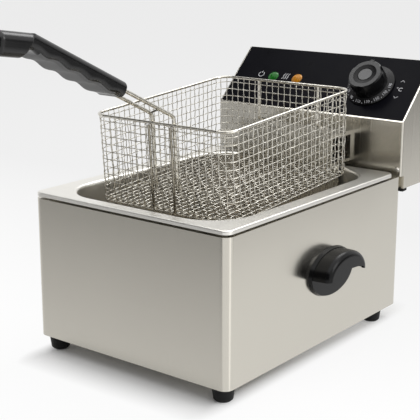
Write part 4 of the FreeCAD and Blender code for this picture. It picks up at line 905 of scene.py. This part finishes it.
@dataclass
class Basket:
    """Wire basket in its own tilted frame. Millimetres and degrees."""

    finishes: Finishes
    width: float = 189.0
    depth: float = 237.4
    height: float = 98.5
    corner: float = 16.0
    pitch_turn: float = 4.2
    wire: float = 0.52
    mesh_pitch: float = 8.5
    sides: int = 6
    rear_wall: float = 114.2
    rim_rear_z: float = CASING_TOP + 108.35
    sideways: float = 3.0
    below_rim: float = 1.6
    above_floor: float = 1.4
    swing_share: float = 0.9
    edge_share: float = 1.5
    edge_steps: int = 120

    @property
    def inset(self) -> float:
        """How far the middle of the weave lies inside the outer face."""
        return 2 * self.wire

    @property
    def swing(self) -> float:
        """How far a woven wire swings to either side."""
        return self.wire * self.swing_share

    def place(self) -> Matrix:
        """Placement of the basket's own frame, in metres.

        Returns:
            The placement.
        """
        turn = math.radians(self.pitch_turn)
        half = self.depth / 2
        middle = at(self.sideways, self.rear_wall - half * math.cos(turn),
                    self.rim_rear_z - half * math.sin(turn))
        return Matrix.Translation(middle) @ Matrix.Rotation(turn, 4, "X")

    def lean(self, z: float) -> float:
        """How far the rear wall leans at a height below the rim."""
        return z * math.tan(math.radians(self.pitch_turn))

    def loop(self, z: float, inset: float) -> Callable[[float], tuple[Vector, Vector]]:
        """Outline of the mesh at a height.

        Args:
            z: height in the basket's frame.
            inset: distance inside the outer face.

        Returns:
            A function from a share of the way round to the point and its outward normal.
        """
        side = self.width / 2
        front, rear = -self.depth / 2, self.depth / 2 + self.lean(z)
        r = self.corner
        quarter = math.pi / 2
        runs = (self.width - 2 * r, rear - front - 2 * r)
        gaps = [self.flat_x(), self.arc_share(), self.flat_y(), self.arc_share()] * 2
        total = sum(gaps)

        def spot(share: float) -> tuple[Vector, Vector]:
            """Point and outward normal.

            Args:
                share: how far round it is, from the front's left end.

            Returns:
                The two.
            """
            way = (share % 1.0) * total
            index = 0
            while way > gaps[index] and index < len(gaps) - 1:
                way -= gaps[index]
                index += 1
            local = way / gaps[index]
            if index % 2 == 0:
                along = local * runs[index // 2 % 2]
                point, normal = {
                    0: (Vector((r - side + along, front, z)), Vector((0, -1, 0))),
                    2: (Vector((side, front + r + along, z)), Vector((1, 0, 0))),
                    4: (Vector((side - r - along, rear, z)), Vector((0, 1, 0))),
                    6: (Vector((-side, rear - r - along, z)), Vector((-1, 0, 0))),
                }[index]
            else:
                hub = {
                    1: Vector((side - r, front + r, z)),
                    3: Vector((side - r, rear - r, z)),
                    5: Vector((r - side, rear - r, z)),
                    7: Vector((r - side, front + r, z)),
                }[index]
                turn = quarter * ((index - 1) // 2 - 1 + local)
                normal = Vector((math.cos(turn), math.sin(turn), 0))
                point = hub + normal * r
            return point - normal * inset, normal

        return spot

    def flat_x(self) -> int:
        """Mesh gaps along the flat part of the front."""
        return round((self.width - 2 * self.corner) / self.mesh_pitch)

    def flat_y(self) -> int:
        """Mesh gaps along the flat part of a side."""
        return round((self.depth - 2 * self.corner) / self.mesh_pitch)

    def arc_share(self) -> int:
        """Mesh gaps round one corner."""
        return round(self.corner * math.pi / 2 / self.mesh_pitch)

    def round_count(self) -> int:
        """Upright wires round the basket."""
        return 2 * (self.flat_x() + self.flat_y()) + 4 * self.arc_share()

    def build(self) -> None:
        """Weave the walls and the floor, and dress the rest."""
        dress(self.finishes.wire, "basket_rim", "basket_hook", "handle_rods")
        dress(self.finishes.stay, "front_stays")
        dress(self.finishes.bridge, "handle_bridge")
        dress(self.finishes.grip, "handle_grip")
        dress(self.finishes.insert, "grip_insert")
        walls = self.weave_walls()
        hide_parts("basket_front_net", "basket_rear_net", "basket_left_net", "basket_right_net",
                    "basket_corner_nets")
        floor = self.weave_floor()
        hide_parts("basket_floor_net")

    def weave_walls(self) -> bpy.types.Object:
        """Level loops and upright wires, each passing in front of and behind the others in turn.

        Returns:
            The woven walls.
        """
        mesh = bmesh.new()
        place = self.place()
        count = self.round_count()
        top, bottom = -self.below_rim, self.above_floor - self.height
        rows = round((top - bottom) / self.mesh_pitch)
        levels = [top + (bottom - top) * (k + 0.5) / rows for k in range(rows)]
        for k, z in enumerate(levels):
            spot = self.loop(z, self.inset)
            line = []
            for i in range(2 * count):
                point, normal = spot(i / (2 * count))
                side = 0 if i % 2 else (1 if (i // 2 + k) % 2 else -1)
                line.append(place @ ((point + normal * (self.swing * side)) * MM))
            tube(mesh, line, self.wire * MM, self.sides, closed=True)
        heights = [top]
        for z in levels:
            heights += [z, z + (bottom - top) / rows / 2]
        spots = [self.loop(z, self.inset) for z in heights]
        for i in range(count):
            line = []
            for j, spot in enumerate(spots):
                point, normal = spot(i / count)
                side = 0 if j % 2 == 0 else (-1 if (i + (j - 1) // 2) % 2 else 1)
                line.append(place @ ((point + normal * (self.swing * side)) * MM))
            tube(mesh, line, self.wire * MM, self.sides)
        return new_piece("basket_wall_mesh", mesh, self.finishes.wire, "basket")

    def weave_floor(self) -> bpy.types.Object:
        """Wires both ways across the floor, woven, inside its rounded outline.

        Returns:
            The woven floor.
        """
        mesh = bmesh.new()
        place = self.place()
        base = self.inset - self.height
        side = self.width / 2 - self.inset
        front = self.inset - self.depth / 2
        rear = self.depth / 2 + self.lean(-self.height) - self.inset
        middle, half = (front + rear) / 2, (rear - front) / 2
        r = self.corner - self.inset
        ends = 2 * round(self.corner / self.mesh_pitch)
        columns, rows = self.flat_x() + ends, self.flat_y() + ends
        xs = [side * (2 * i / columns - 1) for i in range(1, columns)]
        ys = [half * (2 * j / rows - 1) for j in range(1, rows)]

        def reach(offset: float, half_across: float, half_along: float) -> float:
            """Half of a wire's length, by its distance from the middle of the rounded outline."""
            over = max(0.0, abs(offset) - half_across + r)
            return half_along - r + math.sqrt(max(0.0, r * r - over * over))

        def cross(fixed: float, stops: Sequence[float], limit: float, parity: int, lengthwise: bool) -> None:
            """Add one woven wire.

            Args:
                fixed: its distance from the middle.
                stops: places of the wires that it crosses.
                limit: half of its length.
                parity: even or odd, for passing over or under the first of them.
                lengthwise: whether it runs from front to rear.
            """
            inner = [(stop, i) for i, stop in enumerate(stops) if abs(stop) < limit]
            marks: list[Span] = [(-limit, 0.0)]
            for (stop, i), following in zip(inner, inner[1:] + [(limit, 0)]):
                marks.append((stop, self.swing if (i + parity) % 2 else -self.swing))
                marks.append(((stop + following[0]) / 2, 0.0))
            marks.append((limit, 0.0))
            line = []
            for along, lift in marks:
                x, y = (fixed, along) if lengthwise else (along, fixed)
                line.append(place @ (Vector((x, middle + y, base + lift)) * MM))
            tube(mesh, line, self.wire * MM, self.sides)

        for i, x in enumerate(xs):
            cross(x, ys, reach(x, side, half), i, True)
        for j, y in enumerate(ys):
            cross(y, xs, reach(y, half, side), j + 1, False)
        edge = self.loop(base, self.inset)
        ring = [place @ (edge(i / self.edge_steps)[0] * MM) for i in range(self.edge_steps)]
        tube(mesh, ring, self.wire * self.edge_share * MM, self.sides, closed=True)
        return new_piece("basket_floor_mesh", mesh, self.finishes.wire, "basket")


def upright_corners(start: Span, end: Span, height: float) -> list[Point]:
    """Corners of an upright rectangle on a line of the floor."""
    return [(*start, 0.0), (*end, 0.0), (*end, height), (*start, height)]


def level_corners(x: Span, y: Span, z: float) -> list[Point]:
    """Corners of a level rectangle at a height."""
    return [(x[0], y[0], z), (x[1], y[0], z), (x[1], y[1], z), (x[0], y[1], z)]


@dataclass(frozen=True)
class SoftBox:
    """Square soft light. Metres and watts."""

    name: str
    place: Point
    aim: Point
    size: float
    power: float

    def build(self) -> None:
        """Hang the light."""
        data = bpy.data.lights.new(self.name, "AREA")
        data.size = self.size
        data.energy = self.power
        holder = bpy.data.objects.new(self.name, data)
        bpy.context.scene.collection.objects.link(holder)
        holder.location = self.place
        holder.rotation_euler = (Vector(self.aim) - Vector(self.place)).to_track_quat("-Z", "Y").to_euler()


@dataclass
class Studio:
    """Camera in millimetres, and floor, backdrop, reflected cards and soft lights in metres."""

    camera_at: Point = (745.6, -981.9, CASING_TOP + 293.9)
    target: Point = (-6.39, -21.23, CASING_TOP - 25.27)
    lens: float = 93.63
    sensor: float = 36.0
    clip: Span = (0.01, 50.0)
    fill: float = 0.47
    backdrop: tuple[int, int, int] = (240, 240, 240)
    floor_colour: Colour = (0.9, 0.9, 0.9)
    floor_half: float = 14.0
    floor_drop: float = 0.0005
    near_glow: float = 0.91
    far_glow: float = 0.8
    glow_span: Span = (-0.05, 0.6)
    shadow_reach: float = 0.045
    shadow_narrow: float = 2.0
    shadow_inset: Span = (0.02, -0.005)
    card_colour: Colour = (0.05, 0.049, 0.047)
    card_lift: float = 0.0004
    card_reach: float = 3.0
    card_left: float = -3.5
    front_reach: float = 1.1
    front_gap: float = 0.004
    front_spill: float = 0.03
    front_fade: float = 0.8
    front_cover: Span = (0.18, 0.86)
    rear_gap: float = 0.01
    rear_slant: float = 2.4
    rear_end: float = 5.0
    rear_fade: Span = (0.25, 0.9)
    rear_cover: Span = (0.0, 0.72)
    white_level: float = 1.5
    white_gap: Span = (0.012, 0.004)
    white_span: Span = (-0.3, 0.75)
    room_front: float = -3.2
    room_right: float = 4.5
    room_height: float = 3.4
    room_fade: Span = (0.0, 0.5)
    room_cover: Span = (0.3, 0.9)
    horizon_front: float = 2.2
    horizon_end: float = 6.0
    horizon_fade: Span = (0.9, 1.5)
    horizon_cover: Span = (0.9, 0.5)
    ceiling: float = 2.7
    ceiling_left: float = -4.0
    ceiling_right: float = -0.35
    ceiling_rear: float = 0.6
    ceiling_fade: float = 0.6
    soft_boxes: tuple[SoftBox, ...] = (
        SoftBox("top_light", place=(0.2, 0.0, 2.2), aim=(0.0, 0.0, 0.1), size=3.2, power=26.0),
        SoftBox("rear_light", place=(-0.02, 1.45, 1.85), aim=(0.0, -0.1, 0.2), size=0.9, power=10.0),
        SoftBox("right_light", place=(1.9, 0.6, 1.3), aim=(0.0, 0.0, 0.15), size=1.0, power=9.0),
        SoftBox("left_light", place=(-0.9, 0.06, 2.05), aim=(0.0, 0.0, 0.15), size=0.45, power=3.0),
    )

    def build(self) -> None:
        """Set up the scene."""
        scene = bpy.context.scene
        scene.view_settings.view_transform = "Standard"
        self.camera(scene)
        self.floor()
        self.floor_cards()
        self.room_cards()
        self.world(scene)
        for light in self.soft_boxes:
            light.build()

    def camera(self, scene: bpy.types.Scene) -> None:
        """Place the camera.

        Args:
            scene: the scene that it shows.
        """
        data = bpy.data.cameras.new("camera")
        data.lens = self.lens
        data.sensor_width = self.sensor
        data.sensor_fit = "HORIZONTAL"
        data.clip_start, data.clip_end = self.clip
        holder = bpy.data.objects.new("camera", data)
        scene.collection.objects.link(holder)
        holder.location = at(*self.camera_at)
        holder.rotation_euler = (at(*self.target) - at(*self.camera_at)).to_track_quat("-Z", "Y").to_euler()
        scene.camera = holder

    def floor(self) -> None:
        """White floor that looks the same in the steel and fades to the backdrop's grey towards the rear. It
        keeps the real shadow only near the casing: beyond a short reach its glow paints light over the shadow.
        """
        shader = Shader("floor_white")
        shader.set(Base_Color=self.floor_colour, Roughness=0.7, Specular_IOR_Level=0.1)
        place = shader.split()
        depth = place.outputs["Y"]
        glow = shader.node("ShaderNodeEmission")
        tone = shader.tint(shader.ramp(depth, self.glow_span, (0.0, 1.0)), WHITE, srgb(*self.backdrop))
        shader.link(tone, glow.inputs["Color"])
        behind = shader.ramp(depth, self.glow_span, (0.0, self.far_glow))
        # Painted light: the glow grows with distance from the casing's footprint and covers the shadow beyond
        # shadow_reach.
        around = shader.ramp(self.clearance(shader, place), (0.0, self.shadow_reach), (0.0, self.near_glow))
        level = shader.combine("MAXIMUM", behind, around)
        share = shader.combine("MULTIPLY", self.seen_rays(shader.tree), level)
        shader.show_mix(share, shader.surface.outputs["BSDF"], glow.outputs["Emission"])
        span = (-self.floor_half, self.floor_half)
        self.card("floor", level_corners(span, span, -self.floor_drop), shader.material)

    def clearance(self, shader: Shader, place: bpy.types.Node) -> bpy.types.NodeSocket:
        """Distance on the floor from the casing's footprint.

        Args:
            shader: the floor's material.
            place: node that gives X and Y on the floor.

        Returns:
            The value socket.
        """
        low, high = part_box("casing_wrap")
        far = self.floor_half
        gaps = shader.node("ShaderNodeCombineXYZ")
        for axis, (letter, stretch) in enumerate((("X", self.shadow_narrow), ("Y", 1.0))):
            half = (high[axis] - low[axis]) / 2 - self.shadow_inset[axis]
            middle = (low[axis] + high[axis]) / 2
            size = shader.combine("ABSOLUTE", shader.combine("SUBTRACT", place.outputs[letter], middle))
            shader.link(shader.ramp(size, (half, far), (0.0, (far - half) * stretch)), gaps.inputs[letter])
        length = shader.node("ShaderNodeVectorMath", operation="LENGTH")
        shader.link(gaps.outputs["Vector"], length.inputs[0])
        return length.outputs["Value"]

    def seen_rays(self, tree: bpy.types.NodeTree) -> bpy.types.NodeSocket:
        """One for rays that show the backdrop: straight from the camera, off metal or through clear plastic.

        Args:
            tree: the nodes to add to.

        Returns:
            The value socket.
        """
        path = tree.nodes.new("ShaderNodeLightPath")
        seen = path.outputs["Is Camera Ray"]
        for kind in ("Is Glossy Ray", "Is Transmission Ray"):
            either = tree.nodes.new("ShaderNodeMath")
            either.operation = "MAXIMUM"
            tree.links.new(seen, either.inputs[0])
            tree.links.new(path.outputs[kind], either.inputs[1])
            seen = either.outputs["Value"]
        return seen

    def card(self, name: str, corners: Sequence[Point], material: bpy.types.Material) -> bpy.types.Object:
        """Flat piece of the studio.

        Args:
            name: its name.
            corners: its outline in metres.
            material: its finish.

        Returns:
            The new object.
        """
        mesh = bmesh.new()
        mesh.faces.new([mesh.verts.new(corner) for corner in corners])
        data = bpy.data.meshes.new(name)
        mesh.to_mesh(data)
        mesh.free()
        data.materials.append(material)
        piece = bpy.data.objects.new(name, data)
        bpy.context.scene.collection.objects.link(piece)
        return piece

    def floor_cards(self) -> None:
        """Cards on the floor, seen only in reflections: dark in front and rear right, white at the right."""
        low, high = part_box("casing_wrap")
        front, side, z = low[1], high[0], self.card_lift
        reach = side + self.card_reach
        far, near = front - self.front_reach, front - self.front_gap
        self.dark_card("card_front", [(self.card_left, far, z), (side + self.front_spill, far, z),
                                      (side, near, z), (self.card_left, near, z)],
                       "Y", (front, front - self.front_fade), self.front_cover)
        inner = side + self.rear_gap
        self.dark_card("card_rear", [(inner, front, z), (reach, front + self.rear_slant, z),
                                     (reach, self.rear_end, z), (inner, self.rear_end, z)],
                       "X", tuple(side + fade for fade in self.rear_fade), self.rear_cover)
        white = Shader("card_white")
        white.set(Base_Color=BLACK, Specular_IOR_Level=0.0, Emission_Color=WHITE,
                  Emission_Strength=self.white_level)
        corners = [(side + self.white_gap[0], front + self.white_gap[1], z)]
        corners += [(reach, front + end, z) for end in self.white_span]
        self.only_reflected(self.card("card_right", corners, white.material))

    def room_cards(self) -> None:
        """Dark cards for the room, seen only in reflections: in front, at the right rear and overhead."""
        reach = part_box("casing_wrap")[1][0] + self.card_reach
        front, right = self.room_front, self.ceiling_right
        room = upright_corners((self.card_left, front), (self.room_right, front), self.room_height)
        self.dark_card("card_room", room, "Z", self.room_fade, self.room_cover)
        horizon = upright_corners((reach, self.horizon_front), (reach, self.horizon_end), self.horizon_fade[1])
        self.dark_card("card_horizon", horizon, "Z", self.horizon_fade, self.horizon_cover)
        ceiling = level_corners((self.ceiling_left, right), (front, self.ceiling_rear), self.ceiling)
        self.dark_card("card_ceiling", ceiling, "X", (right, right - self.ceiling_fade), self.room_cover)

    def dark_card(self, name: str, corners: Sequence[Point], axis: str, span: Span, cover: Span) -> None:
        """One dark card that fades in along an axis.

        Args:
            name: its name.
            corners: its outline in metres.
            axis: X, Y or Z.
            span: where the fade starts and ends along the axis.
            cover: how much it hides there.
        """
        shader = Shader(name + "_dark")
        shader.set(Base_Color=self.card_colour, Roughness=0.9, Specular_IOR_Level=0.1)
        clear = shader.node("ShaderNodeBsdfTransparent")
        share = shader.ramp(shader.split().outputs[axis], span, cover)
        shader.show_mix(share, clear.outputs["BSDF"], shader.surface.outputs["BSDF"])
        self.only_reflected(self.card(name, corners, shader.material))

    def only_reflected(self, piece: bpy.types.Object) -> None:
        """Hide a card from everything but reflections.

        Args:
            piece: the card.
        """
        piece.visible_camera = False
        piece.visible_diffuse = False
        piece.visible_shadow = False
        piece.visible_transmission = False

    def world(self, scene: bpy.types.Scene) -> None:
        """Soft light from all round, and a pale backdrop for what looks past the fryer.

        Args:
            scene: the scene that it lights.
        """
        world = bpy.data.worlds.new("studio")
        scene.world = world
        world.use_nodes = True
        tree = world.node_tree
        back = tree.nodes["Background"]
        back.inputs["Color"].default_value = (*WHITE, 1.0)
        back.inputs["Strength"].default_value = self.fill
        seen = tree.nodes.new("ShaderNodeBackground")
        seen.inputs["Color"].default_value = (*srgb(*self.backdrop), 1.0)
        mix = tree.nodes.new("ShaderNodeMixShader")
        tree.links.new(self.seen_rays(tree), mix.inputs["Fac"])
        tree.links.new(back.outputs["Background"], mix.inputs[1])
        tree.links.new(seen.outputs["Background"], mix.inputs[2])
        tree.links.new(mix.outputs["Shader"], tree.nodes["World Output"].inputs["Surface"])


class Assembly(Protocol):
    """A group of pieces that can be built."""

    def build(self) -> None:
        """Make its pieces and dress its solids."""


def main() -> None:
    """Build the fryer's looks and the studio, in order."""
    logging.basicConfig(level=logging.INFO, format="%(name)s: %(message)s")
    finishes = Finishes()
    plane = PanelPlane()
    assemblies: Sequence[Assembly] = (Casing(finishes), Tank(finishes), Head(finishes, plane),
                                      Knob(finishes, plane), Basket(finishes), Studio())
    for assembly in assemblies:
        assembly.build()
        LOG.info("finished %s", type(assembly).__name__)


if __name__ == "__main__":
    main()
